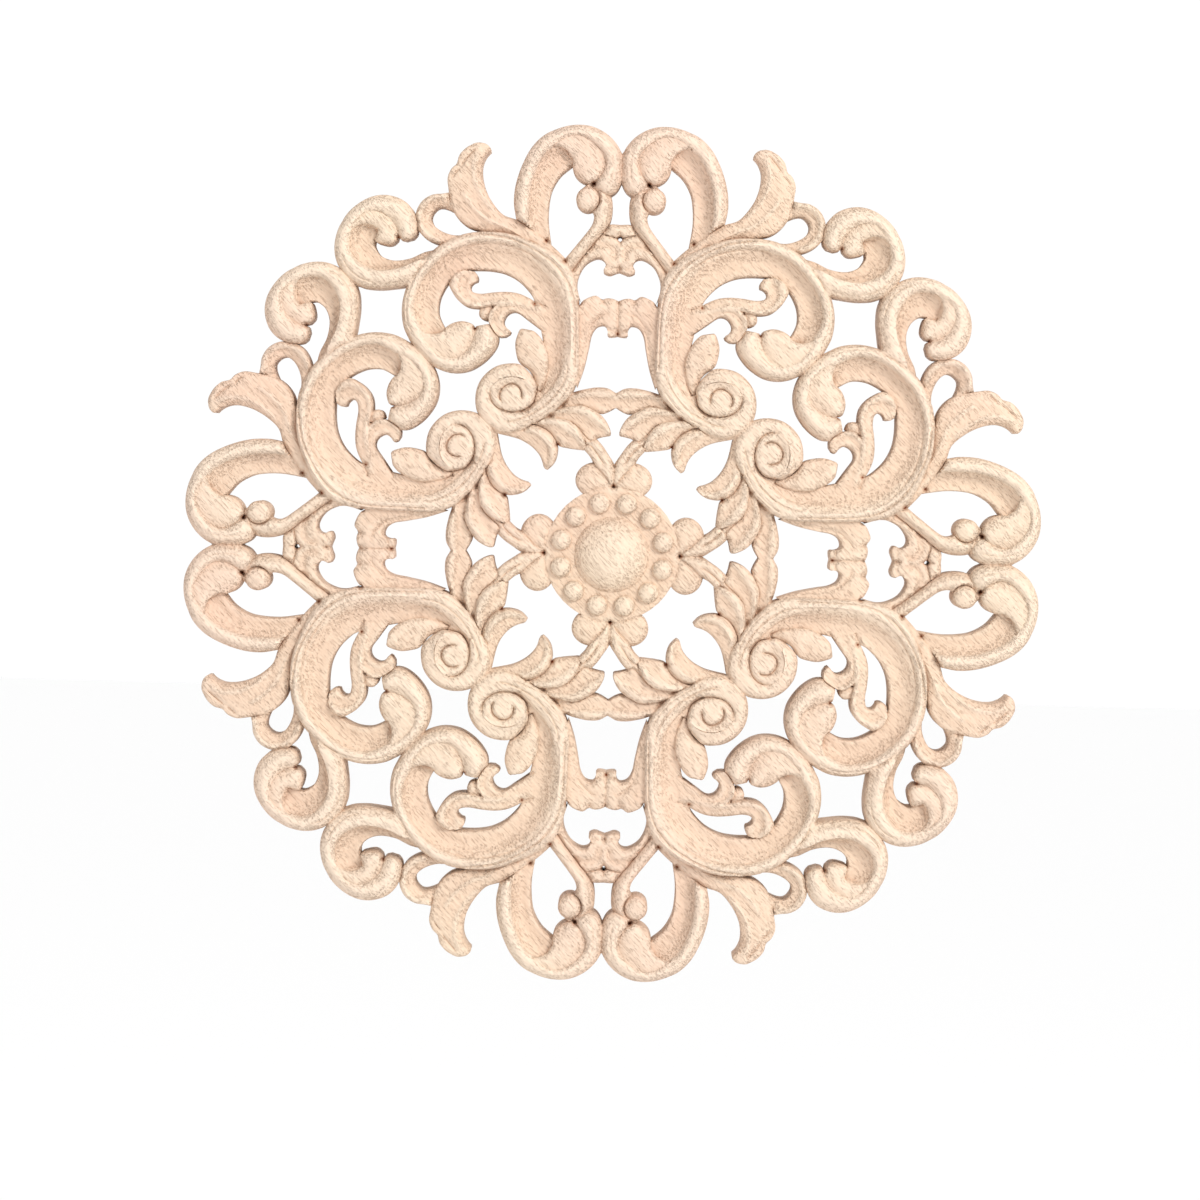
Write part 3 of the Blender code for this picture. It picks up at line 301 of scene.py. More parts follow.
# %% Bridges and heart scroll
STROKES = [
    ("lower_bridge", 0, [
        (-0.6, 35.2, -0.6, 30.8), (0.7, 35.8, 0.7, 30.5), (1.6, 35.9, 1.4, 30.6), (2.3, 35.7, 1.4, 31.3),
        (3.1, 36.2, 1.8, 32.05), (4.2, 35.9, 2.9, 31.85), (5.2, 35.2, 3.6, 30.8), (5.9, 33.2, 4, 28.8),
        (6.1, 29.5, 4.6, 26), (6.4, 25.5, 5.5, 23.3)],
     {0: BRIDGE, 3: BRIDGE, 6: LOWER_BRIDGE, 9: BRIDGE_END}),
    ("upper_bridge", 0, [
        (-0.6, 44.2, -0.6, 39.8), (0.5, 44.3, 0.5, 39.45), (1.5, 44.7, 1.4, 39.15), (2.4, 44.9, 2.25, 39.6),
        (3.1, 44.7, 1.9, 40.5), (3.8, 44.2, 2.2, 41.2), (4.8, 43.2, 3.2, 41.45), (6, 41.8, 4.8, 40.5),
        (6.9, 40.4, 5.7, 38.8), (6.9, 38.8, 5.85, 37.3), (6.2, 37, 5.3, 35.3)],
     {0: BRIDGE, 6: BRIDGE, 10: BRIDGE_END}),
    ("bridge_cap", 1, [
        (-0.8, 46.1, -0.8, 44.4), (0.4, 46.2, 0.4, 44.35), (1.4, 46.2, 1.6, 44.6), (2.6, 45.6, 2.7, 44.8)],
     {0: BRIDGE}),
    ("stem", 2, [
        (6.7, 39.4, 7.7, 41.2), (5.8, 40.7, 7.1, 41.9), (4.7, 42.1, 6, 43.3), (3.5, 43.7, 4.9, 44.7),
        (2.4, 45, 4, 46), (1.5, 46.4, 3.72, 47.1), (1.15, 48.3, 3.9, 47.9), (1.4, 50.1, 4.3, 48.3),
        (2.6, 51.6, 4.9, 48.9), (4.4, 51.9, 5.2, 49.7), (5.6, 51, 5.5, 50.2)],
     {0: CURL_FOOT, 5: CURL_STEM, 8: CURL_TURN, 10: CURL_END}),
    ("heart_scroll", 3, [
        (14.6, 46.5, 13, 45.3, 9.6, 42.9), (15, 49, 13.05, 48.6, 10.15, 46.7),
        (14.75, 51.6, 12.85, 51.2, 10, 49.7), (13.9, 54.3, 12.15, 53.6, 9.55, 51.3),
        (12.5, 56.9, 11, 55.8, 8.5, 53), (10.7, 58.6, 9.8, 56.9, 7.1, 54.2),
        (8.7, 59.5, 8.6, 57.6, 6.6, 54.6)],
     {0: STEPPED_BAND}),
    ("heart_hook", 3, [
        (10.7, 58.6, 9.8, 56.9), (8.7, 59.5, 8.6, 57.6), (6.6, 59.95, 6.6, 58.4), (4.4, 59.8, 4.5, 57.8),
        (2.4, 58.9, 3.1, 56.6), (0.9, 57.5, 2.35, 55.2), (0, 55.8, 2.5, 53.8), (-0.1, 54, 3.1, 52.8),
        (0, 52.2, 3.7, 52), (0.6, 50.9, 3.6, 51.5), (1.6, 50.1, 3, 50.9)],
     {0: HOOK_ROOT, 3: HOOK_ROOT, 6: HOOK, 8: HOOK, 10: HOOK_END}),
    ("heart_bulb", 4, [
        (8.6, 57.7, 9.7, 56.9), (7.4, 58.3, 8.4, 56.6), (6, 58.45, 7.4, 55.9), (4.5, 57.8, 6.95, 55),
        (3.1, 56.6, 6.95, 54.2), (2.35, 55.2, 6.6, 53.1), (2.5, 53.8, 5.9, 52.3), (3.2, 52.6, 4.9, 51.8),
        (3.9, 51.9, 4.1, 51.7)],
     BULB_SECTIONS),
]
print(len(STROKES), "strokes for the bridges and the heart scroll")

# %% [markdown]
# ## The drawing: leaves
# Three leaves lie over each other like roof tiles, fed by a slender stem from the middle. A tail leaf
# curls away beside them. Each leaf is one stroke, so that its rails are its two edges and its tip is where
# they meet.

# %% Leaves
STROKES += [
    ("first_leaf", 4, [
        (8.3, 21.2, 8.3, 20.2), (6.9, 22.3, 6.4, 20.6), (5.5, 22.8, 4.7, 20.85), (3.9, 23.2, 3.3, 20.3),
        (2.6, 23.4, 2.1, 19.7), (1.2, 23.3, 1.1, 19.95), (0, 22.6, 0, 20.6), (-0.8, 22, -0.6, 21)],
     {0: FIRST_LEAF}),
    ("second_leaf", 5, [
        (9.6, 19.7, 9.6, 18.9), (8, 20.3, 7.9, 18.8), (6.3, 20.7, 6.6, 18.6), (4.7, 20.8, 5.4, 17.9),
        (3.3, 20.3, 4.4, 16.8), (2, 19.5, 3.4, 15.9), (1.1, 18.4, 2.2, 16.3), (0.6, 17.2, 1.4, 16.5),
        (0.6, 16.75, 0.8, 16.6)],
     {0: SECOND_LEAF, 7: SECOND_LEAF, 8: SECOND_TIP}),
    ("third_leaf", 6, [
        (11.4, 18.3, 11.4, 17.7), (9.6, 19, 10, 17.3), (7.9, 18.9, 8.9, 16.5), (6.6, 18.7, 7.9, 15.1),
        (5.4, 17.8, 6.6, 14.75), (4.6, 16.6, 5.4, 14.6), (4, 15.3, 4.35, 14.5)],
     {0: THIRD_LEAF, 5: THIRD_LEAF, 6: THIRD_TIP}),
    ("leaf_stem", 3, [
        (0, 11.6, 2.9, 11.6), (0.1, 12.8, 2.97, 12.7), (0.8, 13.9, 3.4, 13.6), (1.6, 15.1, 4.2, 14.5),
        (2.6, 16.2, 5.2, 15.4), (3.7, 17.3, 6.1, 16.3), (5, 18.4, 7, 17.3)],
     {0: STEM}),
    ("stem_foot", 5, [
        (0, 9.5, 0.35, 9.6), (0, 10.4, 0.9, 10.6), (0, 11.4, 1.8, 11.6), (0.12, 12.5, 2.75, 12.6),
        (0.6, 13.6, 3.35, 13.55), (1.55, 15, 4.2, 14.5)],
     {0: STEM_FOOT, 2: STEM_FOOT, 5: STEM}),
    ("tail_leaf", 7, [
        (15.6, 17.9, 17.4, 16.7), (13.9, 18.1, 15.2, 16.3), (12.3, 18.1, 13.3, 15.8),
        (10.9, 17.85, 11.7, 14.9), (9.6, 17.25, 10.6, 13.8), (8.6, 16.3, 10.1, 12.8), (8, 15, 9.95, 12.2),
        (8.15, 13.3, 9.75, 11.85), (8.6, 12.4, 9.55, 11.7), (9.2, 11.8, 9.4, 11.65)],
     {0: TAIL, 8: TAIL, 9: TAIL_TIP}),
]
print(len(STROKES), "strokes with the leaves")

# %% [markdown]
# ## The drawing: flame leaf, loop and outer scroll
# At the rim a leaf shaped like a flame, a small loop and an outer scroll fill the corner toward the
# diagonal. Every scroll is drawn as three strokes, a band, a hook round its end and a bulb inside the
# hook, because the carver cuts these one after another, each over the last.

# %% Flame leaf, loop and outer scroll
STROKES += [
    ("flame_leaf", 8, [
        (7.6, 41.3, 9.2, 40.3), (9.4, 42.95, 11, 42), (11.6, 44.6, 13.1, 43.5), (14.3, 46.4, 16.2, 44.55),
        (16.5, 47.2, 19.2, 44.8), (18.1, 49, 21.4, 45.4), (19.1, 50.9, 23.1, 46.9),
        (19.55, 52.7, 23.9, 48.8), (19.55, 54.1, 24.2, 50.6), (19.2, 55.1, 24.35, 52.2),
        (18.8, 55.7, 23.8, 53.5), (18.4, 56.1, 23.15, 54.1), (18.5, 56.5, 22.8, 55.3),
        (19.1, 57, 21.9, 56.35), (20, 57.2, 20.9, 57)],
     {0: FLAME, 13: FLAME, 14: LEAF_TIP}),
    ("loop", 7, [
        (23.6, 50.2, 23.3, 47.4), (24.9, 49.9, 24.5, 47.9), (26.4, 49.7, 25.5, 47.95),
        (27.8, 48.8, 26.3, 47.2), (28.6, 47.3, 26.5, 46.3), (28.6, 45.6, 26, 45.35),
        (27.9, 44.2, 24.9, 44.6), (26.5, 43.2, 23.4, 44.15), (24.6, 42.6, 21.8, 44.2)],
     {0: LOOP}),
    ("outer_scroll", 9, [
        (26.4, 38.8, 24.9, 40.9, 24, 42.4), (29.2, 37, 28, 40.5, 27.2, 41.7),
        (31.6, 36.5, 30.2, 39.5, 29.4, 40.7), (33.9, 36.3, 32.3, 38.95, 31.7, 40.4),
        (36.2, 36.6, 34.2, 38.9, 33.4, 41), (38.2, 37.9, 36, 39.5, 34.3, 42.2),
        (39.5, 39.8, 37.4, 40.6, 34.35, 43), (39.95, 42, 38.1, 42.3, 34.1, 43.6),
        (39.5, 44.5, 37.8, 44, 33.9, 44.2), (38.3, 46.7, 36.9, 45.2, 33.8, 44.6)],
     {0: BURIED_BAND, 1: STEPPED_BAND}),
    ("outer_hook", 9, [
        (39.5, 44.5, 37.8, 44), (38.3, 46.7, 36.9, 45.2), (36.6, 48.3, 35.9, 46.6),
        (34.9, 49.2, 34.6, 47.1), (33.2, 49.5, 33.2, 46.85), (31.5, 49.25, 32.1, 46.1),
        (30, 48.5, 31.4, 45.2), (28.9, 47.2, 31.1, 44.4), (28.4, 45.6, 31, 43.8), (28.45, 44.2, 30.8, 43.4),
        (29, 43.5, 30, 43.2)],
     {0: HOOK_ROOT, 3: HOOK_ROOT, 6: HOOK, 9: HOOK, 10: HOOK_END}),
    ("outer_bulb", 10, [
        (36.9, 45.6, 37.6, 44.3), (36, 46.7, 36.8, 45), (34.8, 47.15, 35.8, 45.35),
        (33.3, 46.9, 34.7, 45.15), (32.1, 46.1, 34, 44.5), (31.4, 45.2, 34.3, 43.1),
        (31.05, 44.3, 33.2, 42.6), (31.1, 43.6, 32.2, 42.5), (31.2, 43.2, 31.7, 42.7)],
     BULB_SECTIONS),
]
print(len(STROKES), "strokes with the rim")

# %% [markdown]
# ## The drawing: big scroll
# The big C scroll carries the whole design. A snail volute closes its foot, with a pointed leaf beside it,
# and a sprig, a spur and a twig grow into its middle.

# %% Big scroll
STROKES += [
    ("big_scroll", 9, [
        (13.2, 17.3, 14.6, 19.05, 14.9, 19.7), (11.2, 18.2, 12.2, 19.7, 12.6, 20.3),
        (9.2, 19.35, 10.6, 21.1, 11.5, 21.8), (7.3, 21.1, 9.1, 22.9, 10.7, 23.2),
        (6, 22.8, 8.1, 24.7, 10, 24.6), (5.3, 25.6, 7.4, 27, 10, 27), (5.3, 29.2, 7.1, 29.8, 10.5, 30),
        (5.4, 33, 7.3, 33, 11.1, 32.6), (5.7, 36.6, 8, 35.9, 11.8, 35.3), (6.9, 40, 9.3, 38.6, 12.7, 36.7),
        (9.2, 42, 11.2, 40.9, 14.2, 38.1), (12, 43.4, 13.3, 42.25, 16, 39),
        (15.2, 44.5, 15.7, 42.95, 17.8, 39.35), (18.7, 44.75, 18.5, 43.3, 19.7, 39.4),
        (21.9, 44.3, 21.3, 42.95, 21.3, 39.3), (24.6, 43.1, 23.7, 41.95, 22.6, 38.95),
        (26.8, 41.3, 25.7, 40.3, 23.7, 37.7), (28.6, 39, 27.4, 38.3, 24.5, 36.5),
        (29.8, 36.5, 28.4, 36.3, 25.1, 35), (30.3, 33.8, 28.8, 34, 25.2, 33.3),
        (30, 31.2, 28.2, 31.9, 24.8, 32.1), (28.9, 28.9, 26.6, 29.6, 23.8, 30.4)],
     {0: SCROLL_FOOT, 2: SCROLL_FOOT, 5: SCROLL_BAND, 12: SCROLL_BAND, 15: STEPPED_BAND}),
    ("big_hook", 9, [
        (30, 31.2, 28.2, 31.9), (28.9, 28.9, 27, 30.4), (27.3, 26.9, 25.7, 28.6), (25.3, 25.5, 24.4, 27.4),
        (23.1, 24.9, 23.1, 27), (20.9, 25.15, 21.9, 27.3), (19, 26.2, 21, 28.2), (17.5, 27.7, 20.4, 29.2),
        (16.7, 29.3, 20.1, 30.2), (16.9, 30.9, 20.05, 31), (18.1, 31.85, 19.8, 31.5)],
     {0: HOOK_ROOT, 4: HOOK_ROOT, 7: HOOK, 9: HOOK, 10: HOOK_END}),
    ("big_bulb", 10, [
        (27, 29.4, 27.4, 30.8), (25.4, 27.7, 26.4, 30.35), (23.8, 27.05, 25.4, 30.35),
        (22.3, 27.1, 24.5, 30.7), (21.2, 27.9, 24, 31.3), (20.5, 29, 23, 31.9), (20.1, 30.2, 21.8, 32.15),
        (20.05, 31.1, 20.9, 32), (20.15, 31.5, 20.4, 31.8)],
     BULB_SECTIONS),
    ("side_leaf", 10, [
        (10.6, 22.6, 11.1, 22.8), (10, 23.8, 11.5, 24.2), (9.6, 25.2, 12.3, 25.5), (9.5, 26.7, 13.7, 26.6),
        (9.7, 28.1, 14.15, 27.9), (10.3, 29.4, 14.3, 29.3), (11, 30.4, 14, 30.5), (11.8, 31.05, 13.6, 31.3),
        (12.5, 31.2, 13.1, 31.3)],
     {0: LEAF_TIP, 3: SIDE_LEAF, 7: SIDE_LEAF, 8: LEAF_TIP}),
    ("volute", 11, [
        (11.6, 17.9, 12.4, 19.6), (13.6, 16.9, 13.7, 19.8), (15.8, 16.7, 15, 20), (17.9, 17.6, 16.2, 20.5),
        (19.3, 19.3, 17, 21.2), (19.7, 21.4, 17.2, 22), (19.35, 23.3, 16.9, 22.9), (18.4, 24.8, 16.2, 23.7),
        (16.9, 25.95, 15.5, 24.1), (15.2, 26.4, 14.6, 24.2), (13.5, 26.3, 13.8, 24),
        (12.3, 25.3, 13.3, 23.6), (11.4, 24.1, 13, 23.1), (11.1, 23.1, 13.1, 22.6), (11.7, 22, 13.4, 22)],
     {0: VOLUTE_ROOT, 3: VOLUTE_RING, 9: VOLUTE_RING, 11: VOLUTE_TURN}),
    ("sprig", 12, [
        (10.4, 34.5, 11, 33.3), (13.6, 36.1, 13.6, 34.3), (15.4, 36.4, 15.4, 34.6),
        (17.4, 36.3, 17.5, 34.4), (19.3, 36.05, 19.6, 34), (20.5, 36.3, 21.3, 34.25),
        (20.8, 37, 22.5, 35.1), (20.3, 37.6, 23.3, 36.2), (19.8, 37.8, 23.8, 37.4),
        (19.8, 38.5, 23.1, 38.7), (20.2, 39.1, 21.8, 39.4)],
     {0: FROM_TROUGH, 2: SPRIG, 5: SPRIG, 7: SPRIG_CURL, 9: SPRIG_CURL, 10: TWIG_TIP}),
    ("spur", 11, [
        (17.6, 34.8, 19.2, 34.4), (17.7, 33.7, 19.5, 33.4), (18, 32.7, 19.3, 32.7), (18.4, 32.3, 18.8, 32.4)],
     {0: SPUR, 2: SPUR, 3: SPUR_TIP}),
    ("twig", 12, [
        (10.3, 30.9, 10.2, 34.6), (12.7, 32.6, 13.2, 34.8), (14.2, 33.6, 14.9, 34.9),
        (15.3, 33.4, 16.7, 34.7), (15.9, 32.6, 17.9, 33.8), (15.95, 31.9, 18.2, 32.5),
        (15.5, 31.3, 17.7, 31.3), (14.95, 30.9, 16.7, 30.1), (15.1, 30.5, 15.7, 30.1)],
     {0: FROM_TROUGH, 2: TWIG, 7: TWIG, 8: TWIG_TIP}),
]
print(len(STROKES), "strokes with", sum(len(stations) for _, _, stations, _ in STROKES), "stations")

# %% [markdown]
# ## Boss, beads and curls
# In the middle sits a plain dome inside a ring of twelve beads on a flat round plate. These and the small
# round ends of the curls are domes: a name, a layer, a centre, two radii, the height at the foot and at
# the top. Only the beads of one eighth are listed, and the mirrors make the rest.

# %% Domes
PLATE_RADIUS = 9.45
BEAD_RING_RADIUS = 7.4
BEAD_RADIUS = 1.5
DOME_RADIUS = 5.3
BEADS = 12
BEAD_LAYER = 7
DOMES = [
    ("volute_bed", 8, (14.2, 21.9), (3.4, 3.2), 6.3, 6.3),
    ("curl", 3, (4.65, 49.6), (1.65, 1.75), 6.1, 7.1),
    ("eye", 12, (14.5, 22.1), (3.2, 2.5), 6.85, 7.3),
    ("lobe", 4, (2.6, 10.4), (2.8, 2.5), 5.0, 5.9),
    ("plate", 5, (0.0, 0.0), (PLATE_RADIUS, PLATE_RADIUS), PLATE, PLATE),
    ("boss", 6, (0.0, 0.0), (DOME_RADIUS, DOME_RADIUS), PLATE, DOME),
]
for turn in range(2, 5):
    angle = math.tau * (turn - 0.5) / BEADS
    place = (BEAD_RING_RADIUS * math.cos(angle), BEAD_RING_RADIUS * math.sin(angle))
    DOMES.append(("bead", BEAD_LAYER, place, (BEAD_RADIUS, BEAD_RADIUS), PLATE, BEAD))
print(len(DOMES), "domes in one eighth")

# %% [markdown]
# ## Chisel lines
# The finest marks are lines that a V-shaped chisel drew along the scrolls and leaves. A line has its name,
# the lowest and the highest layer that it marks, its half width, its height, which is negative for a
# groove, and the points that it runs through. Lines change only the height of the surface, never the
# outline.

# %% Chisel lines
LINES = [
    ("fillet groove", 9, 9, 0.17, -0.3, [
        (5.85, 25.5), (5.9, 28), (5.95, 31), (6.05, 34), (6.4, 36), (6.95, 37.6), (7.9, 39.1), (9.3, 40.6),
        (11.1, 41.85), (13.1, 42.95), (15, 43.7), (17.5, 44.15), (20, 44.3), (22, 43.9), (23.6, 43.2)]),
    ("fillet", 9, 9, 0.2, 0.18, [
        (7.1, 38.8), (7.8, 39.8), (9.1, 41), (10.9, 42.25), (13.1, 43.35), (15.2, 44.1), (17.5, 44.5),
        (19.5, 44.6)]),
    ("inner groove", 9, 9, 0.15, -0.2, [
        (7.35, 35.6), (7.8, 37), (8.6, 38.4), (9.7, 39.7), (11.2, 40.9), (12.9, 41.9), (14.8, 42.6),
        (17, 43), (19.4, 43), (21.5, 42.4)]),
    ("lower groove", 9, 9, 0.15, -0.2, [(6.75, 27), (6.8, 30), (6.9, 33), (7.35, 35.6)]),
    ("right groove", 9, 9, 0.15, -0.22, [
        (26.3, 41.2), (28, 39.1), (29.1, 36.8), (29.6, 34.4), (29.4, 31.8), (28.5, 29.9)]),
    ("outer scroll groove", 9, 9, 0.15, -0.22, [
        (29.5, 37.7), (32, 37.15), (34.4, 37.2), (36.4, 37.9), (38, 39.3), (38.9, 41.3)]),
    ("heart groove", 3, 3, 0.14, -0.16, [
        (14.4, 47), (14.45, 49), (14.2, 51.4), (13.5, 53.7), (12.4, 55.9), (11, 57.6)]),
    ("hook groove", 3, 3, 0.2, -0.22, [(1.9, 57.2), (1.35, 55.8), (1.2, 54.2), (1.35, 52.6), (1.9, 51.3)]),
    ("volute eye", 12, 12, 0.2, -0.6, [
        (13.3, 21.2), (13.2, 22), (13.4, 22.8), (14, 23.4), (14.8, 23.55), (15.6, 23.2), (16.2, 22.5),
        (16.3, 21.6), (15.8, 20.8)]),
    ("volute join", 11, 12, 0.4, 0.45, [
        (17.6, 22.4), (17.4, 23.1), (16.7, 23.9), (15.6, 24.45), (14.5, 24.6), (13.4, 24.45), (12.3, 23.9),
        (11.5, 23), (11.3, 22.3)]),
    ("volute foot", 9, 12, 0.22, -0.45, [
        (11.3, 22.3), (11.6, 21.1), (12.4, 20.2), (13.6, 19.65), (14.8, 19.6), (15.9, 19.8)]),
    ("volute side", 11, 12, 0.2, -0.3, [
        (15.2, 19.65), (16.2, 20), (17.1, 20.7), (17.6, 21.6), (17.7, 22.3)]),
    ("upper seam", 0, 1, 0.2, -0.3, [(0, 43.3), (0, 44), (0, 45.1)]),
    ("tip seam", 0, 0, 0.25, -0.4, [(0, 39.4), (0, 40.4)]),
    ("lower seam", 0, 0, 0.2, -0.25, [(0, 30.4), (0, 32), (0, 34), (0, 35.9)]),
    ("upper lip", 0, 0, 0.2, -0.2, [(0.3, 40.3), (0.7, 40), (1.5, 39.95), (2, 40.3)]),
    ("upper petal", 0, 0, 0.45, -0.4, [
        (4.6, 42.2), (3.2, 43.2), (1.8, 43.3), (0.9, 42.8), (0.65, 41.9), (0.9, 40.9)]),
    ("cap seam", 0, 1, 0.15, -0.2, [(0.3, 44.2), (1.4, 44.5), (2.7, 44.8)]),
    ("lower lip", 0, 0, 0.2, -0.3, [(0, 31.6), (0.7, 31.3), (1.3, 31.5)]),
    ("lower petal", 0, 0, 0.25, -0.25, [(4.9, 26.5), (4.3, 29.5), (3.7, 32), (2.4, 33.4), (1, 33.9)]),
    ("stem groove", 3, 6, 0.15, -0.25, [(1.4, 12.4), (2, 13.5), (2.9, 14.7), (3.9, 15.6)]),
    ("first strand", 9, 11, 0.16, -0.25, [
        (6.9, 27), (7, 25), (7.9, 23), (9.3, 21.2), (10.8, 20), (12.6, 19), (14.2, 18.4), (15.8, 18.2)]),
    ("second strand", 9, 9, 0.16, -0.25, [
        (7.9, 27), (8, 25.6), (8.8, 23.9), (10, 22.3), (11.2, 21.2), (12.4, 20.3)]),
    ("third strand", 9, 11, 0.14, -0.2, [
        (6.2, 24), (7.3, 22.2), (8.7, 20.6), (10.2, 19.4), (12, 18.5), (13.6, 17.9)]),
    ("leaf foot", 3, 8, 0.22, -0.25, [
        (5, 23.9), (5.7, 22.9), (6.6, 21.7), (7.6, 20.6), (8.8, 19.4), (10.3, 18.5), (12.1, 17.6)]),
    ("flame vein", 8, 8, 0.3, 0.25, [(12.5, 43.4), (15.5, 45.1), (19, 46.6), (21, 48.4), (22.3, 50.4)]),
    ("flame ridge", 8, 8, 0.35, 0.3, [(17.4, 47.4), (19.4, 49.6), (20.5, 51.9), (20.6, 54.2), (19.9, 56)]),
    ("flame groove", 8, 8, 0.16, -0.3, [(20.3, 56.5), (21.2, 55.5), (22.1, 54.4), (22.6, 53.6)]),
    ("flame nick", 8, 8, 0.16, -0.3, [(22.3, 53.7), (23.1, 53), (23.9, 51.9)]),
    ("first vein", 10, 10, 0.14, -0.1, [(11.6, 26.6), (12.6, 27.8), (13.7, 28.6)]),
    ("second vein", 10, 10, 0.14, -0.1, [(11.2, 27.7), (12.2, 28.9), (13.2, 29.7)]),
    ("tail groove", 7, 7, 0.2, -0.2, [(9.3, 13.2), (9.5, 14.8), (10.5, 16.1), (12.2, 17)]),
]
print(len(LINES), "lines, of which", sum(height < 0 for _, _, _, _, height, _ in LINES), "are grooves")

# %% [markdown]
# ## Pits and pin hole
# Where two cuts meet, the point of the knife leaves a small pit: its place, radius and depth. A pin hole,
# given by place and radius, is drilled through each of the four caps. As the sector is mirrored, one hole
# is enough.

# %% Pits and hole
PITS = [
    (0, 44.2, 0.48, 0.7), (0, 40.1, 0.35, 0.4), (0, 30.95, 0.35, 0.7), (0, 35.3, 0.35, 0.6),
    (2.2, 35.4, 0.3, 0.5), (0, 9.65, 0.35, 0.9), (0, 12.5, 0.35, 0.6), (2.1, 19.6, 0.3, 0.6),
    (2.6, 16.3, 0.3, 0.5), (8.0, 15.25, 0.35, 0.9), (5.6, 22.8, 0.35, 0.8), (7.5, 20.7, 0.35, 0.6),
    (9.2, 19.3, 0.35, 0.6), (3.9, 51.85, 0.38, 1.3), (10.3, 43.7, 0.35, 0.8), (7.65, 40.9, 0.35, 0.9),
    (5.45, 35.1, 0.35, 0.9), (11.75, 34.85, 0.3, 0.7), (20.1, 44.75, 0.3, 0.5), (24.3, 49.3, 0.3, 0.5),
    (24.1, 47.9, 0.3, 0.5), (19, 34.4, 0.25, 0.3), (18.6, 32.8, 0.3, 0.3), (20.0, 31.2, 0.35, 0.9),
    (31.0, 43.6, 0.35, 0.9), (11.2, 30.9, 0.3, 0.5), (26.1, 42.5, 0.3, 0.6), (1.6, 50.2, 0.35, 0.5),
]
HOLE = (0, 44.2, 0.36)
print(len(PITS), "pits, and one hole at", HOLE[:2])

# %% [markdown]
# ## A smooth curve through the stations
# A chisel leaves one flowing line, so each rail is a curve that passes through its stations. A centripetal
# Catmull-Rom curve does this without loops where stations stand close together, and all rails of a stroke
# are curved at once, so that they keep step.

# %% Curves
STEPS_PER_SPAN = 8


def between(first, second, t, start, end):
    """Where a line from `first` at `start` to `second` at `end` stands at t."""
    return ((end - t) * first + (t - start) * second) / (end - start)


def curve(stations):
    """A curve through the stations: (place along, points)."""
    rows = np.array(stations, float)
    rows = np.vstack([2 * rows[0] - rows[1], rows, 2 * rows[-1] - rows[-2]])
    k = np.concatenate([[0.0], np.cumsum(np.sqrt(np.linalg.norm(np.diff(rows, axis=0), axis=1)))])
    along, points = [], []
    for i in range(1, len(rows) - 2):
        for share in np.arange(STEPS_PER_SPAN) / STEPS_PER_SPAN:
            t = k[i] + share * (k[i + 1] - k[i])
            a = [between(rows[j], rows[j + 1], t, k[j], k[j + 1]) for j in (i - 1, i, i + 1)]
            b = [between(a[j], a[j + 1], t, k[i - 1 + j], k[i + 1 + j]) for j in (0, 1)]
            along.append(i - 1 + share)
            points.append(between(b[0], b[1], t, k[i], k[i + 1]))
    along.append(len(stations) - 1)
    points.append(rows[-2])
    return np.array(along), np.array(points)


print("a curve through three stations has", len(curve([(0, 0), (1, 0), (2, 1)])[1]), "points")

# %% [markdown]
# ## The surface of a stroke
# Between its rails a stroke takes the heights of its section. Handling wears an edge round, so the surface
# drops a little close to each rail. Hooks and bulbs run into each other and are worn on the outer side
# only. The columns of points crowd towards the two edges, where the surface bends most, and a band has one
# column on its crest and two on its lip, so that these stay sharp.

# %% Surface of a stroke
COLUMNS = 20
ROLL_RADIUS = 0.3
ROLL_DROP = 0.3
BAND_LINES = (CREST_PLACE, LIP_PLACE, LIP_FOOT)


def rolled(gap):
    """How far a worn edge has dropped at this distance from it."""
    share = np.clip(1 - gap / ROLL_RADIUS, 0, 1)
    return ROLL_DROP * (1 - np.sqrt(1 - share ** 2))


def places_across(last):
    """Where the columns stand between the first rail, at 0, and the last."""
    places = last * (1 - np.cos(np.pi * np.arange(COLUMNS + 1) / COLUMNS)) / 2
    return np.sort(np.append(places, BAND_LINES)) if last == 2 else places


def stroke_grid(name, stations, sections):
    """Points of a stroke's surface, station by station and column by column."""
    along, points = curve(stations)
    last = len(stations[0]) // 2 - 1
    places = places_across(last)
    low = np.minimum(places.astype(int), last - 1)
    first_worn, last_worn = not name.endswith("bulb"), not name.endswith("hook")
    grid = np.empty((len(points), len(places), 3))
    for row, place, rails in zip(grid, along, points):
        rails = rails.reshape(-1, 2)
        row[:, :2] = rails[low] + (places - low)[:, None] * (rails[low + 1] - rails[low])
        first_drop = first_worn * rolled(np.linalg.norm(row[:, :2] - rails[0], axis=1))
        last_drop = last_worn * rolled(np.linalg.norm(row[:, :2] - rails[-1], axis=1))
        row[:, 2] = section_height(mixed(sections, place), places) - np.maximum(first_drop, last_drop)
    return grid


CREST_COLUMNS = [int(np.argmin(abs(places_across(2) - place))) for place in BAND_LINES]
print(COLUMNS + 1, "columns; crest and lip of a band are columns", CREST_COLUMNS)

# %% [markdown]
# ## The surface of a dome
# Beads and curls are rounded with a hollow gouge: steep at the foot and flat on top. The boss is wider and
# fuller. A power of a parabola gives both shapes with one number. A disc without height, such as the
# plate, only gets its edge worn.

# %% Surface of a dome
DOME_SIDES = 40
DOME_RINGS = 10
THIN_EDGE = 0.4
ROUND_CAP = 0.4
LOW_CAP = 0.8


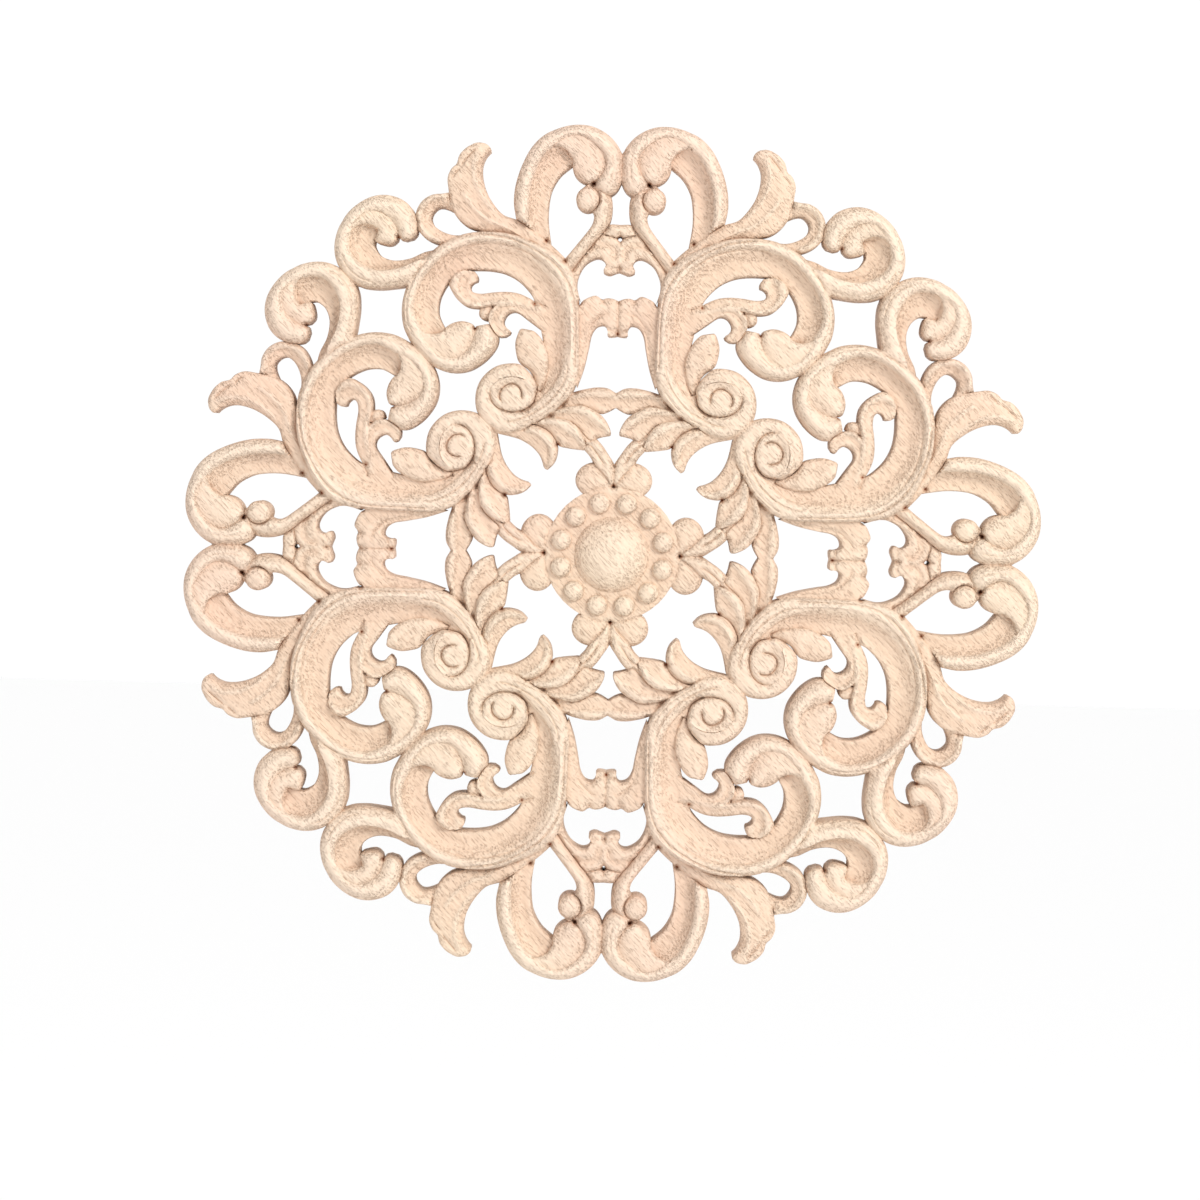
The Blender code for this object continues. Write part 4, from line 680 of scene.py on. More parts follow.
def dome_grid(centre, radii, base, top):
    """Points of a dome, ring by ring from the middle outwards."""
    turns = math.tau * np.arange(DOME_SIDES) / DOME_SIDES
    shares = np.sin(np.pi / 2 * np.arange(DOME_RINGS + 1) / DOME_RINGS)
    grid = np.empty((DOME_RINGS + 1, DOME_SIDES, 3))
    grid[..., 0] = centre[0] + shares[:, None] * radii[0] * np.cos(turns)
    grid[..., 1] = centre[1] + shares[:, None] * radii[1] * np.sin(turns)
    worn = THIN_EDGE * rolled((1 - shares) * min(radii)) if base == top else 0 * shares
    bulge = (1 - shares ** 2) ** (LOW_CAP if min(radii) >= DOME_RADIUS else ROUND_CAP)
    grid[..., 2] = (base + (top - base) * bulge - worn)[:, None]
    return grid


print("a dome has", DOME_SIDES * DOME_RINGS, "points around its middle")

# %% [markdown]
# ## Even spacing
# Triangles come out even if the points along their lines are. So each line is measured, and gets new
# points at steps of one facet, 0.37 mm, which is about as fine as the marks of a small chisel.

# %% Even spacing
FACET = 0.37


def spaced(line, gap):
    """The same line with points at even steps."""
    lengths = np.concatenate([[0.0], np.cumsum(np.linalg.norm(np.diff(line, axis=0), axis=1))])
    count = max(1, int(round(lengths[-1] / gap)))
    wanted = np.linspace(0, lengths[-1], count + 1)
    return np.column_stack([np.interp(wanted, lengths, line[:, i]) for i in (0, 1)])


print("a line of 10 mm gets", len(spaced(np.array([(0.0, 0.0), (10.0, 0.0)]), FACET)), "points")

# %% [markdown]
# ## A patch
# Each stroke or dome becomes a patch: its outline, the lines that its facets should follow, and a search
# tree, which gives the height of its surface at any spot. The steps below ask for single spots, so this is
# simpler for them than rows of stations.

# %% A patch
ROUNDING = 1e-6


class Patch:
    """One stroke or dome of the drawing."""

    def __init__(self, layer, grid, closed, crests=()):
        self.layer = layer
        tall, wide = grid.shape[:2]
        if closed:
            self.outline = spaced(np.vstack([grid[-1, :, :2], grid[-1, :1, :2]]), FACET)[:-1]
            self.crests = []
        else:
            left, right = spaced(grid[:, 0, :2], FACET), spaced(grid[:, -1, :2], FACET)
            ends = [spaced(grid[i, :, :2], FACET)[1:-1] for i in (-1, 0)]
            self.outline = np.vstack([left, ends[0], right[::-1], ends[1][::-1]])
            self.crests = [spaced(grid[:, i, :2], FACET) for i in crests]
        self.points = [Vector(p) for p in grid.reshape(-1, 3)]
        self.faces = []
        for i in range(tall - 1):
            for j in range(wide if closed else wide - 1):
                a, b = i * wide + j, i * wide + (j + 1) % wide
                self.faces.append((a, b + wide, a + wide))
                if (self.points[a] - self.points[b]).length > ROUNDING:
                    self.faces.append((a, b, b + wide))
        self.tree = BVHTree.FromPolygons([(p.x, p.y, 0) for p in self.points], self.faces)

    def gap(self, x, y):
        """How far a spot is outside the patch."""
        return self.tree.find_nearest((x, y, 0))[3]

    def height(self, x, y):
        """Height of the surface at the nearest spot that it reaches."""
        spot, _, face, _ = self.tree.find_nearest((x, y, 0))
        corners = [self.points[i] for i in self.faces[face]]
        flat = [Vector((p.x, p.y, 0)) for p in corners]
        return barycentric_transform(spot, *flat, *corners).z


test_patch = Patch(0, dome_grid((0.0, 0.0), (2.0, 1.0), 5.0, 6.0), True)
print("a test dome measures", round(test_patch.height(0.0, 0.0), 2), "mm in its middle")

# %% [markdown]
# ## All patches
# The strokes and domes of the drawing become patches in the order of the tables. Only a band has lines on
# its surface, its crest and its lip, and it is known by its third rail.

# %% All patches
patches = [
    Patch(layer, stroke_grid(name, stations, sections), False, CREST_COLUMNS if len(stations[0]) > 4 else ())
    for name, layer, stations, sections in STROKES
]
patches += [Patch(layer, dome_grid(*shape), True) for _, layer, *shape in DOMES]
print(len(patches), "patches")

# %% [markdown]
# ## Geometry in plan
# Only what lies on top is carved, and only one eighth of the circle is drawn. Both questions are about the
# plan: does a spot lie inside an outline, inside the sector, or on one of its two mirror lines? Points
# next to a mirror line are moved onto it, so that the eight copies meet without a gap.

# %% Spots and outlines
TINY = 1e-12


def enclosed(spots, starts, ends):
    """Which of the spots lie inside the region that the sides from `starts` to `ends` go round."""
    x, y = spots[:, 0][:, None], spots[:, 1][:, None]
    (ax, ay), (bx, by) = starts.T, ends.T
    span = np.where(by == ay, TINY, by - ay)
    hits = ((ay > y) != (by > y)) & (x < (bx - ax) * (y - ay) / span + ax)
    return hits.sum(axis=1) % 2 == 1


def inside(spots, outline):
    """Which of the spots lie inside a closed outline."""
    near = np.all((spots > outline.min(axis=0)) & (spots < outline.max(axis=0)), axis=1)
    found = np.zeros(len(spots), bool)
    if near.any():
        found[near] = enclosed(spots[near], outline, np.roll(outline, -1, axis=0))
    return found


def in_sector(spots, slack):
    """Which of the spots lie between the upright axis and the diagonal, or less than `slack` outside."""
    return (spots[:, 0] > -slack) & (spots[:, 1] > spots[:, 0] - slack)


def snapped(spots, reach):
    """The spots, with those next to a mirror line moved onto it."""
    spots = np.array(spots, float)
    middle = (spots[:, 0] + spots[:, 1]) / 2
    on_diagonal = np.abs(spots[:, 0] - spots[:, 1]) < reach
    spots[on_diagonal] = middle[on_diagonal, None]
    spots[np.abs(spots[:, 0]) < reach, 0] = 0.0
    return spots


print("a test point in the sector:", in_sector(np.array([[1.0, 2.0]]), 0)[0])

# %% [markdown]
# ## Which lines can be seen
# Where a leaf passes under a scroll, its edge stops. So each line is cut wherever it crosses the outline
# of another patch, and a piece of it is kept only if nothing higher covers its middle. To cut first and
# ask later is simpler than to follow each line around, and it never misses a crossing.

# %% Cut a line
def boxed(outline):
    """An outline with its shifted copy and its box, for `split`."""
    return outline, np.roll(outline, -1, axis=0), outline.min(axis=0), outline.max(axis=0)


def split(start, end, outlines):
    """The points that cut a straight line where it crosses any of the outlines, with its two ends."""
    shares = [0.0, 1.0]
    step = end - start
    low, high = np.minimum(start, end), np.maximum(start, end)
    for outline, ends, below, above in outlines:
        if (low > above).any() or (high < below).any():
            continue
        side = ends - outline
        gap = outline - start
        cross = step[0] * side[:, 1] - step[1] * side[:, 0]
        cross[np.abs(cross) < TINY] = TINY
        here = (gap[:, 0] * side[:, 1] - gap[:, 1] * side[:, 0]) / cross
        there = (gap[:, 0] * step[1] - gap[:, 1] * step[0]) / cross
        shares += [float(h) for h in here[(here > 0) & (here < 1) & (there >= 0) & (there <= 1)]]
    return [start + share * step for share in sorted(shares)]


def cut(line, cutters):
    """The pieces of a line between its crossings with the cutters: their starts, ends and middles."""
    starts, ends = [], []
    for start, end in zip(line[:-1], line[1:]):
        spots = split(start, end, cutters)
        starts += spots[:-1]
        ends += spots[1:]
    starts, ends = np.array(starts), np.array(ends)
    return starts, ends, (starts + ends) / 2


test_square = boxed(np.array([(0.0, 0.0), (1.0, 0.0), (1.0, 1.0), (0.0, 1.0)]))
print("a line across a square has", len(cut(np.array([(-1.0, 0.5), (2.0, 0.5)]), [test_square])[0]), "pieces")

# %% [markdown]
# ## One list of edges
# All lines of one eighth are collected as edges between numbered points, beginning with its two mirror
# lines. A spot is wood where any patch covers it, and the highest layer there is the one that is seen. A
# table like this can grow line by line, and the triangulation below sorts out what meets.

# %% Points and edges
REACH = 72.0
SECTOR = np.array([(0.0, 0.0), (0.0, REACH), (REACH, REACH)])
SNAP = 0.1
SAME_POINT = 1e-4
points = [tuple(spot) for spot in SECTOR]
edges = [(0, 1), (0, 2)]
loose = []


def covered(spots):
    """For each spot, the layer on top there, or -1 where it is a hole."""
    top = np.full(len(spots), -1)
    for patch in patches:
        top = np.where(inside(spots, patch.outline), np.maximum(top, patch.layer), top)
    return np.where(in_sector(spots, 0), top, -1)


def keep_edges(starts, ends, kept):
    """Adds the pieces that are kept, unless they are too short, to the points and the edges."""
    kept = kept & (np.linalg.norm(ends - starts, axis=1) > SAME_POINT)
    for start, end in zip(starts[kept], ends[kept]):
        edges.append((len(points), len(points) + 1))
        points.extend([tuple(start), tuple(end)])


print("layer on top at the middle of the boss:", covered(np.array([[0.5, 1.0]]))[0])

# %% [markdown]
# ## Chisel lines for the triangles to follow
# A groove looks crisp only if edges of the triangles run along its bottom. So each chisel line gives
# edges, and loose points on both sides of it that carry its flanks. A pit gets a point in its middle and
# six around it.

# %% Lines and pits in plan
FLANK = 1.4
PIT_SIDES = 6
PIT_RING = 0.8


def drawn(line):
    """A chisel line as an evenly spaced curve."""
    return spaced(curve(line)[1], FACET)


def beside_line(line, gap):
    """The points of a line moved sideways, to both sides."""
    along = np.gradient(line, axis=0)
    along /= np.linalg.norm(along, axis=1)[:, None]
    across = np.column_stack([-along[:, 1], along[:, 0]])
    return np.vstack([line + gap * across, line - gap * across])


cutters = [boxed(patch.outline) for patch in patches] + [boxed(SECTOR)]
for _, low, high, half, _, line in LINES:
    line = snapped(drawn(line), SNAP)
    loose.append(beside_line(line, FLANK * half))
    starts, ends, middles = cut(line, cutters)
    tops = covered(middles)
    keep_edges(starts, ends, (low <= tops) & (tops <= high))
for x, y, radius, _ in PITS:
    reach = PIT_RING * radius
    turns = math.tau * (np.arange(PIT_SIDES) + 0.5) / PIT_SIDES
    loose.append([(x, y)] + [(x + reach * math.cos(turn), y + reach * math.sin(turn)) for turn in turns])
print(len(edges), "edges along the chisel lines")

# %% [markdown]
# ## Edges of the strokes and domes
# The outline of each patch and the crests of the bands become edges too, where nothing lies over them. A
# ring of points just inside each outline makes the step down to the next layer steep, as a knife would cut
# it.

# %% Edges of the patches
STEP = 0.13
RING_MARGIN = 0.6 * FACET
SHORTEST = 1e-9


def inset(outline, gap):
    """A ring just inside an outline."""
    along = np.roll(outline, -1, axis=0) - np.roll(outline, 1, axis=0)
    along /= np.maximum(np.linalg.norm(along, axis=1), SHORTEST)[:, None]
    across = gap * np.column_stack([-along[:, 1], along[:, 0]])
    ring = outline + across
    if inside(ring, outline).mean() < 0.5:
        ring = outline - across
    return ring[inside(ring, outline)]


def hidden(spots, outlines):
    """Which of the spots lie inside any of the outlines."""
    found = np.zeros(len(spots), bool)
    for outline in outlines:
        found |= inside(spots, outline)
    return found


for patch in patches:
    over = [other.outline for other in patches if other.layer > patch.layer]
    beside = [other.outline for other in patches if other.layer == patch.layer and other is not patch]
    cutters = [boxed(outline) for outline in over + [SECTOR]]
    rail = np.vstack([patch.outline, patch.outline[:1]])
    for line, covers in [(rail, over + beside)] + [(crest, over) for crest in patch.crests]:
        starts, ends, middles = cut(snapped(line, SNAP), cutters)
        keep_edges(starts, ends, in_sector(middles, ROUNDING) & ~hidden(middles, covers))
    ring = inset(patch.outline, STEP)
    loose.append(ring[in_sector(ring, -RING_MARGIN) & ~hidden(ring, over + beside)])
points = np.array(points)
loose = snapped(np.vstack(loose), SNAP / 2)
loose = loose[in_sector(loose, ROUNDING)]
print(len(edges), "edges,", len(loose), "loose points")

# %% [markdown]
# ## Near points
# Points that stand too close together would make slivers, so new points have to keep away from the ones
# that are there. A k-d tree finds the nearest point without looking at all of them, which matters with
# thousands of points.

# %% Near points
def tree_of(spots):
    """A search tree of the spots."""
    tree = KDTree(len(spots))
    for i, (x, y) in enumerate(spots):
        tree.insert((x, y, 0), i)
    tree.balance()
    return tree


def gaps_to(taken, spots):
    """For each spot, the distance to the nearest of the points taken."""
    tree = tree_of(taken)
    return np.array([tree.find((x, y, 0))[2] for x, y in spots])


def thinned(spots, gap):
    """The spots without those that stand closer than `gap` to an earlier one."""
    tree = tree_of(spots)
    gone = set()
    for i, (x, y) in enumerate(spots):
        if i not in gone:
            gone |= {j for _, j, _ in tree.find_range((x, y, 0), gap) if j > i}
    return spots[[i for i in range(len(spots)) if i not in gone]]


print("gap between two test points:", gaps_to([(0.0, 0.0)], [(3.0, 4.0)])[0])

# %% [markdown]
# ## Filling in
# The space between the lines is filled with a staggered field of points, like the middles of a honeycomb's
# cells, because such points give triangles with equal sides. Each mirror line gets a row of points too.

# %% Fill between the lines
FIELD_END = 62
HALF_FACET = 0.5 * FACET
FIELD_GAP = 0.55 * FACET
EDGE_GAP = 0.8 * STEP
LOOSE_GAP = 0.9 * STEP

loose = thinned(loose[gaps_to(points, loose) > EDGE_GAP], LOOSE_GAP)
rows = np.arange(0, FIELD_END, FACET * math.sqrt(3) / 2)
field = np.array([
    (x, y) for i, y in enumerate(rows) for x in np.arange(HALF_FACET * (i % 2), y + FACET, FACET)
])
field = field[in_sector(field, -HALF_FACET)]
field = field[covered(field) >= 0]
field = field[gaps_to(np.vstack([points, loose]), field) > FIELD_GAP]
# points along the two mirror lines
seam = np.arange(0, FIELD_END, FACET)
seam = np.vstack([np.column_stack([0 * seam, seam]), np.column_stack([seam, seam]) / math.sqrt(2)])
seam = seam[gaps_to(points, seam) > HALF_FACET]
print(len(field), "points in the field,", len(seam), "on the mirror lines")

# %% [markdown]
# ## Joining up
# A constrained Delaunay triangulation joins all points into the most even triangles and still keeps every
# line. This is how land surveys are meshed, and it suits carving for the same reason: the sharp lines stay
# sharp and the rest stays regular.

# %% Triangulate
WHOLE_HULL = 0
SEAM_SNAP = 1e-3

every_point = [Vector(spot) for spot in np.vstack([points, loose, field, seam])]
spots, _, triangles, *_ = delaunay_2d_cdt(every_point, edges, [], WHOLE_HULL, SAME_POINT)
spots = snapped([tuple(spot) for spot in spots], SEAM_SNAP)
triangles = np.array(triangles)
print(len(spots), "points,", len(triangles), "triangles with the holes")

# %% [markdown]
# ## Pieces, areas and rims
# To tell wood from window, three questions are asked of the triangles: which hang together, how large they
# are, and which of their edges have no neighbour. The answers come from the edges alone, so that they hold
# for any drawing.

# %% Ask the triangles
def pieces_of(triangles):
    """For each triangle, the first triangle of the connected piece that it belongs to."""
    sides = np.sort(triangles[:, [[0, 1], [1, 2], [2, 0]]], axis=2).reshape(-1, 2)
    side = np.unique(sides, axis=0, return_inverse=True)[1].ravel()
    piece = np.arange(len(triangles))
    while True:
        lowest = np.full(len(sides), len(piece))
        np.minimum.at(lowest, side, np.repeat(piece, 3))
        spread = lowest[side].reshape(-1, 3).min(axis=1)
        if (spread == piece).all():
            return piece
        piece = spread[spread]


def area_of(triangles, spots):
    """Areas of triangles in plan: positive where the corners go anticlockwise."""
    a, b, c = (spots[triangles[:, i]] for i in range(3))
    return ((b - a)[:, 0] * (c - a)[:, 1] - (b - a)[:, 1] * (c - a)[:, 0]) / 2


def outer_edges(triangles):
    """The edges with a triangle on one side only, each in the direction of its triangle."""
    directed = {(t[j], t[(j + 1) % 3]) for t in triangles.tolist() for j in range(3)}
    return [(a, b) for a, b in directed if (b, a) not in directed]


print("area with the windows:", round(abs(area_of(triangles, spots)).sum()), "square mm")

# %% [markdown]
# ## Keep the wood
# A triangle belongs to the wood where some stroke covers its middle. Strokes that are meant to touch can
# leave hair-fine slits, which no saw would cut, so the smallest gaps are filled. The pin hole is taken
# out, and the largest connected piece is kept.

# %% Wood and windows
SMALLEST_AREA = 1e-7
SMALLEST_GAP = 0.9

triangles = triangles[np.abs(area_of(triangles, spots)) > SMALLEST_AREA]
triangles = np.where((area_of(triangles, spots) < 0)[:, None], triangles[:, ::-1], triangles)
triangles = triangles[in_sector(spots[triangles].mean(axis=1), 0)]
middles = spots[triangles].mean(axis=1)
tops = covered(middles)
empty = np.where(tops < 0)[0]
gap_of = pieces_of(triangles[empty])
gap_size = np.bincount(gap_of, np.abs(area_of(triangles[empty], spots)), minlength=1)
filled = empty[gap_size[gap_of] < SMALLEST_GAP]
kept = tops >= 0
kept[filled] = True
kept &= np.hypot(middles[:, 0] - HOLE[0], middles[:, 1] - HOLE[1]) > HOLE[2]
triangles, tops = triangles[kept], tops[kept]
print(len(triangles), "triangles of wood,", len(filled), "of them in slits")

# %% [markdown]
# ## One clean piece
# Two corners of wood that touch at a single point can't be made: they would break apart. They are parted
# by taking the smallest triangle at such a point, until the rim runs through every point only once.

# %% Part the corners
while True:
    piece = pieces_of(triangles)
    largest = piece == np.bincount(piece).argmax()
    triangles, tops = triangles[largest], tops[largest]
    starts = np.array([a for a, _ in outer_edges(triangles)])
    names, counts = np.unique(starts, return_counts=True)
    if counts.max() == 1:
        break
    spare = np.where((triangles == names[counts.argmax()]).any(axis=1))[0]
    gone = spare[np.abs(area_of(triangles[spare], spots)).argmin()]
    triangles, tops = np.delete(triangles, gone, axis=0), np.delete(tops, gone)
used, numbers = np.unique(triangles, return_inverse=True)
triangles = numbers.reshape(triangles.shape)
spots = spots[used]
print(len(spots), "points,", len(triangles), "triangles in one piece")

# %% [markdown]
# ## Heights of the points
# Each point takes the height of the stroke on top. On a line between two strokes it takes the lower of the
# two, so that the upper one stands up from the other with a crisp foot.

# %% Heights of the points
SAME_GAP = 0.02
by_layer = {}
for patch in patches:
    by_layer.setdefault(patch.layer, []).append(patch)


def height_at(x, y, layer):
    """Height of a layer: the highest of its patches that reach this spot."""
    found = [(patch.gap(x, y), patch.height(x, y)) for patch in by_layer[layer]]
    reach = min(gap for gap, _ in found) + SAME_GAP
    return max(z for gap, z in found if gap <= reach)


layers = [set() for _ in spots]
for triangle, top in zip(triangles.tolist(), tops.tolist()):
    for i in triangle:
        if top >= 0:
            layers[i].add(top)
in_slit = [i for i, found in enumerate(layers) if not found]
for i in in_slit:
    layers[i] = {min(patches, key=lambda patch: patch.gap(*spots[i])).layer}
heights = np.array([
    min(height_at(x, y, layer) for layer in found) for (x, y), found in zip(spots, layers)
])
print("heights", round(heights.min(), 2), "to", round(heights.max(), 2), "mm,", len(in_slit), "in slits")

# %% [markdown]
# ## Softening
# A carved surface is sanded lightly, so points inside one stroke are evened out once with their
# neighbours. The lines between strokes, the rim of the wood and the lips of the bands are left, or they
# would blur.

# %% Soften the surface
ends = np.vstack([triangles[:, [0, 1]], triangles[:, [1, 2]], triangles[:, [2, 0]]])
ends = np.unique(np.sort(ends, axis=1), axis=0)
count = np.bincount(ends.ravel(), minlength=len(spots))
rim = np.array(outer_edges(triangles))
on_axis, on_diagonal = spots[:, 0] == 0, spots[:, 0] == spots[:, 1]
on_mirror = on_axis | on_diagonal
inner = np.array([len(found) == 1 for found in layers])
inner[rim[~on_mirror[rim].all(axis=1)].ravel()] = False
lowest = np.array([min(found) for found in layers])


def averaged(values):
    """Each point's average over its neighbours."""
    total = np.bincount(ends[:, 0], values[ends[:, 1]], len(spots))
    total += np.bincount(ends[:, 1], values[ends[:, 0]], len(spots))
    return total / count


def along_line(line):
    """For each spot, its distance from a line, and how far its nearest place on the line is from an end."""
    starts, steps = line[:-1], np.diff(line, axis=0)
    share = ((spots[:, None] - starts) * steps).sum(axis=2) / (steps ** 2).sum(axis=1)
    feet = starts + np.clip(share, 0, 1)[..., None] * steps
    gaps = np.linalg.norm(spots[:, None] - feet, axis=2)
    nearest = feet[np.arange(len(spots)), gaps.argmin(axis=1)]
    from_ends = [np.linalg.norm(nearest - line[i], axis=1) for i in (0, -1)]
    return gaps.min(axis=1), np.minimum(*from_ends)


for patch in patches:
    for line in patch.crests[1:]:
        inner[(along_line(line)[0] < SAME_GAP) & (lowest == patch.layer)] = False
heights = np.where(inner, (heights + averaged(heights)) / 2, heights)
print(int(inner.sum()), "points softened,", len(spots) - int(inner.sum()), "kept sharp")

# %% [markdown]
# ## Carve the lines and pits
# A chisel line is a smooth bump or groove across its width, which runs out softly at both ends. A line
# that starts on a mirror line doesn't fade, as it goes on into the next sector. Pits are round and soft as
# well.

# %% Carve the lines and pits
FADE = 0.7
DEEPEST_CUT = 3.0
for _, low, high, half, height, line in LINES:
    gap, from_end = along_line(drawn(line))
    fade = np.clip(from_end / FADE, 0, 1) if line[0][0] > 0 else 1.0
    marked = (lowest >= low) & (lowest <= high)
    heights += np.where(marked, height * fade * np.exp(-(gap / half) ** 2), 0.0)
for x, y, radius, depth in PITS:
    heights -= depth * np.exp(-(np.hypot(spots[:, 0] - x, spots[:, 1] - y) / radius) ** 2)
heights = np.maximum(heights, DEEPEST_CUT)
print("lowest point of the carving:", round(heights.min(), 2), "mm")

# %% [markdown]
# ## Creases and crests
# Creases get painted shade together with their brown dust, and crests get a painted highlight. A point that
# lies well below the average around it is in a crease, and one well above it is on a crest. Both values stay
# with the mesh as attributes, for the finish to read. Beside a cut edge there is no crease, so the value
# fades towards the rim. The deepest pits get more than 1, as the real ones are darker than any crease; here
# that is scorched brown together with painted shade.

# %% Find the creases and the crests
WIDE_ROUNDS = 14
FULL_CREASE = 0.7
RIM_WIDTH = 0.9
RIM_SHARE = 0.15
DEEP_PIT = 0.7
PIT_CREASE = 1.5
CREST_RISE = 0.5
HIGH_GROUND = 6.6
HIGH_RISE = 2
AT_MOST = 0.5
MARKED = 0.3

wide = heights.copy()
for _ in range(WIDE_ROUNDS):
    wide = (wide + averaged(wide)) / 2
rim_starts = rim[~on_mirror[rim[:, 0]], 0]
from_rim = gaps_to(spots[rim_starts], spots)
# crease shade: how much painted shade, with brown dust, a point gets for lying in a crease
crease_shade = np.clip((wide - heights) / FULL_CREASE, 0, 1) * np.clip(from_rim / RIM_WIDTH, RIM_SHARE, 1)
# the deepest pits go above 1 in the mask: painted shade together with the brown of scorched wood
for x, y, radius, depth in PITS:
    if depth >= DEEP_PIT:
        away = np.hypot(spots[:, 0] - x, spots[:, 1] - y) / radius
        crease_shade = np.maximum(crease_shade, PIT_CREASE * np.exp(-away ** 2))
# crest: how much painted highlight a point gets on a crest or on high ground
rise = np.clip((heights - wide) / CREST_RISE, 0, AT_MOST)
crest = rise + np.clip((heights - HIGH_GROUND) / HIGH_RISE, 0, AT_MOST)
print("creased points:", int((crease_shade > MARKED).sum()), "crest points:", int((crest > MARKED).sum()))

# %% [markdown]
# ## Walls and back
# The saw cuts the wood straight through, so the walls drop from the rim of the sheet to the flat back. The
# back is the same outline again, triangulated without the fine points, as nothing is carved there. Along
# the two mirror lines there is no wall, because the next sector goes on there.

# %% Walls and back
INSIDE_ONLY = 1
walls = rim[~(on_axis[rim].all(axis=1) | on_diagonal[rim].all(axis=1))].tolist()
base = sorted({i for edge in rim.tolist() for i in edge})
under = {i: j for j, i in enumerate(base)}
back_edges = [(under[a], under[b]) for a, b in rim.tolist()]
base_points = [Vector(spots[i]) for i in base]
back, _, below, *_ = delaunay_2d_cdt(base_points, back_edges, [], INSIDE_ONLY, ROUNDING)
back = snapped([tuple(spot) for spot in back], SEAM_SNAP)
below = np.array(below)
below = below[enclosed(back[below].mean(axis=1), spots[rim[:, 0]], spots[rim[:, 1]])]
below = np.where((area_of(below, back) > 0)[:, None], below[:, ::-1], below)
print(len(walls), "walls,", len(below), "triangles in the back")

# %% [markdown]
# ## One closed eighth
# Sheet, walls and back are joined into one list of points and faces. The sheet's points come first and the
# back's after them, so a wall finds its lower corners by adding the length of the sheet.

# %% Join the eighth
top_count = len(spots)
sector_points = np.vstack([np.column_stack([spots, heights]), np.column_stack([back, 0 * back[:, 0]])])
sector_faces = triangles.tolist() + (below + top_count).tolist()
for a, b in walls:
    low_a, low_b = top_count + under[a], top_count + under[b]
    sector_faces += [(b, a, low_a), (b, low_a, low_b)]
crease_shade = np.concatenate([crease_shade, np.zeros(len(back))])
crest = np.concatenate([crest, np.zeros(len(back))])
print("one eighth:", len(sector_points), "points,", len(sector_faces), "triangles")

# %% [markdown]
# ## Size
# The drawing is brought to the exact size of the engineering solid, both across and in depth, and turned
# so that the carved face looks to the front. From here on everything is in metres.

# %% One eighth as a mesh
half_width = (HIGH_CORNER[0] - LOW_CORNER[0]) / 2
plan_scale = half_width / sector_points[:, 1].max()
depth_scale = (HIGH_CORNER[1] - LOW_CORNER[1]) / sector_points[:, 2].max()
placed = np.column_stack([
    sector_points[:, 0] * plan_scale,
    HIGH_CORNER[1] - sector_points[:, 2] * depth_scale,
    sector_points[:, 1] * plan_scale,
])
eighth_mesh = bpy.data.meshes.new("carved eighth")
eighth_mesh.from_pydata(placed.tolist(), [], sector_faces)
# the two masks for the finish: painted shade in creases and pits, painted highlight on crests
for name, values in (("crease_shade", crease_shade), ("crest", crest)):
    attribute = eighth_mesh.attributes.new(name, "FLOAT", "POINT")
    attribute.data.foreach_set("value", values.astype(np.float32))
eighth = add_object("carved eighth", eighth_mesh)
print("scale in plan", round(plan_scale * 1000, 4), "in depth", round(depth_scale * 1000, 4))

# %% [markdown]
# ## Nodes by name
# Both the finish and the mirroring are trees of nodes. One helper adds a node and fills its inputs, either
# with a value or with a link from another node, so that each line of a tree reads like a sentence. It also
# sets the nodes out in rows, for whoever opens the tree in the editor.

# %% A helper for nodes
NODES_IN_ROW = 8
NODE_WIDTH = 220
NODE_HEIGHT = 320


def new_node(tree, kind, **values):
    """A node with its settings, and with the values or the links of its inputs."""
    node = tree.nodes.new(kind)
    row, column = divmod(len(tree.nodes), NODES_IN_ROW)
    node.location = (NODE_WIDTH * column, -NODE_HEIGHT * row)
    for name, value in values.items():
        if hasattr(node, name):
            setattr(node, name, value)
        elif isinstance(value, bpy.types.NodeSocket):
            tree.links.new(value, node.inputs[name.replace("_", " ")])
        else:
            node.inputs[name.replace("_", " ")].default_value = value
    return node


print("nodes are set out in rows of", NODES_IN_ROW)

# %% [markdown]
# ## The wood
# The board is a pale hardwood, planed and carved but not varnished, so it is rough and has hardly any
# shine. The grain runs from the upper left to the lower right over the whole board, so its pattern reads
# Object coordinates and is not mirrored with the carving.

# %% The wood
WOOD_ROUGHNESS = 0.62
WOOD_SHINE = 0.3
GRAIN_TURN = math.radians(45)

wood = bpy.data.materials.new("pale rubberwood")
wood.use_nodes = True
tree = wood.node_tree
shader = tree.nodes["Principled BSDF"]
shader.inputs["Roughness"].default_value = WOOD_ROUGHNESS
shader.inputs["Specular IOR Level"].default_value = WOOD_SHINE
coords = new_node(tree, "ShaderNodeTexCoord").outputs
along_grain = new_node(tree, "ShaderNodeMapping", Vector=coords["Object"], Rotation=(0, -GRAIN_TURN, 0))
print("wood with grain at", round(math.degrees(GRAIN_TURN)), "degrees")

# %% [markdown]
# ## Noise along the grain
# Nothing in wood repeats, so its marks come from noise. Stretched along the grain, noise turns into fibres
# and streaks, and a ramp decides how much of it shows. Three helpers keep the tree below readable.

# %% Noise and ramps
def stretched(share):
    """Grain coordinates, drawn out along the grain: the smaller the share, the longer."""
    vector = along_grain.outputs["Vector"]
    return new_node(tree, "ShaderNodeMapping", Vector=vector, Scale=(share, 1, 1)).outputs["Vector"]


def noise(scale, detail, share=None):
    """Soft random values, drawn out along the grain where a share is given."""
    vector = stretched(share) if share else coords["Object"]
    return new_node(tree, "ShaderNodeTexNoise", Vector=vector, Scale=scale, Detail=detail).outputs["Fac"]


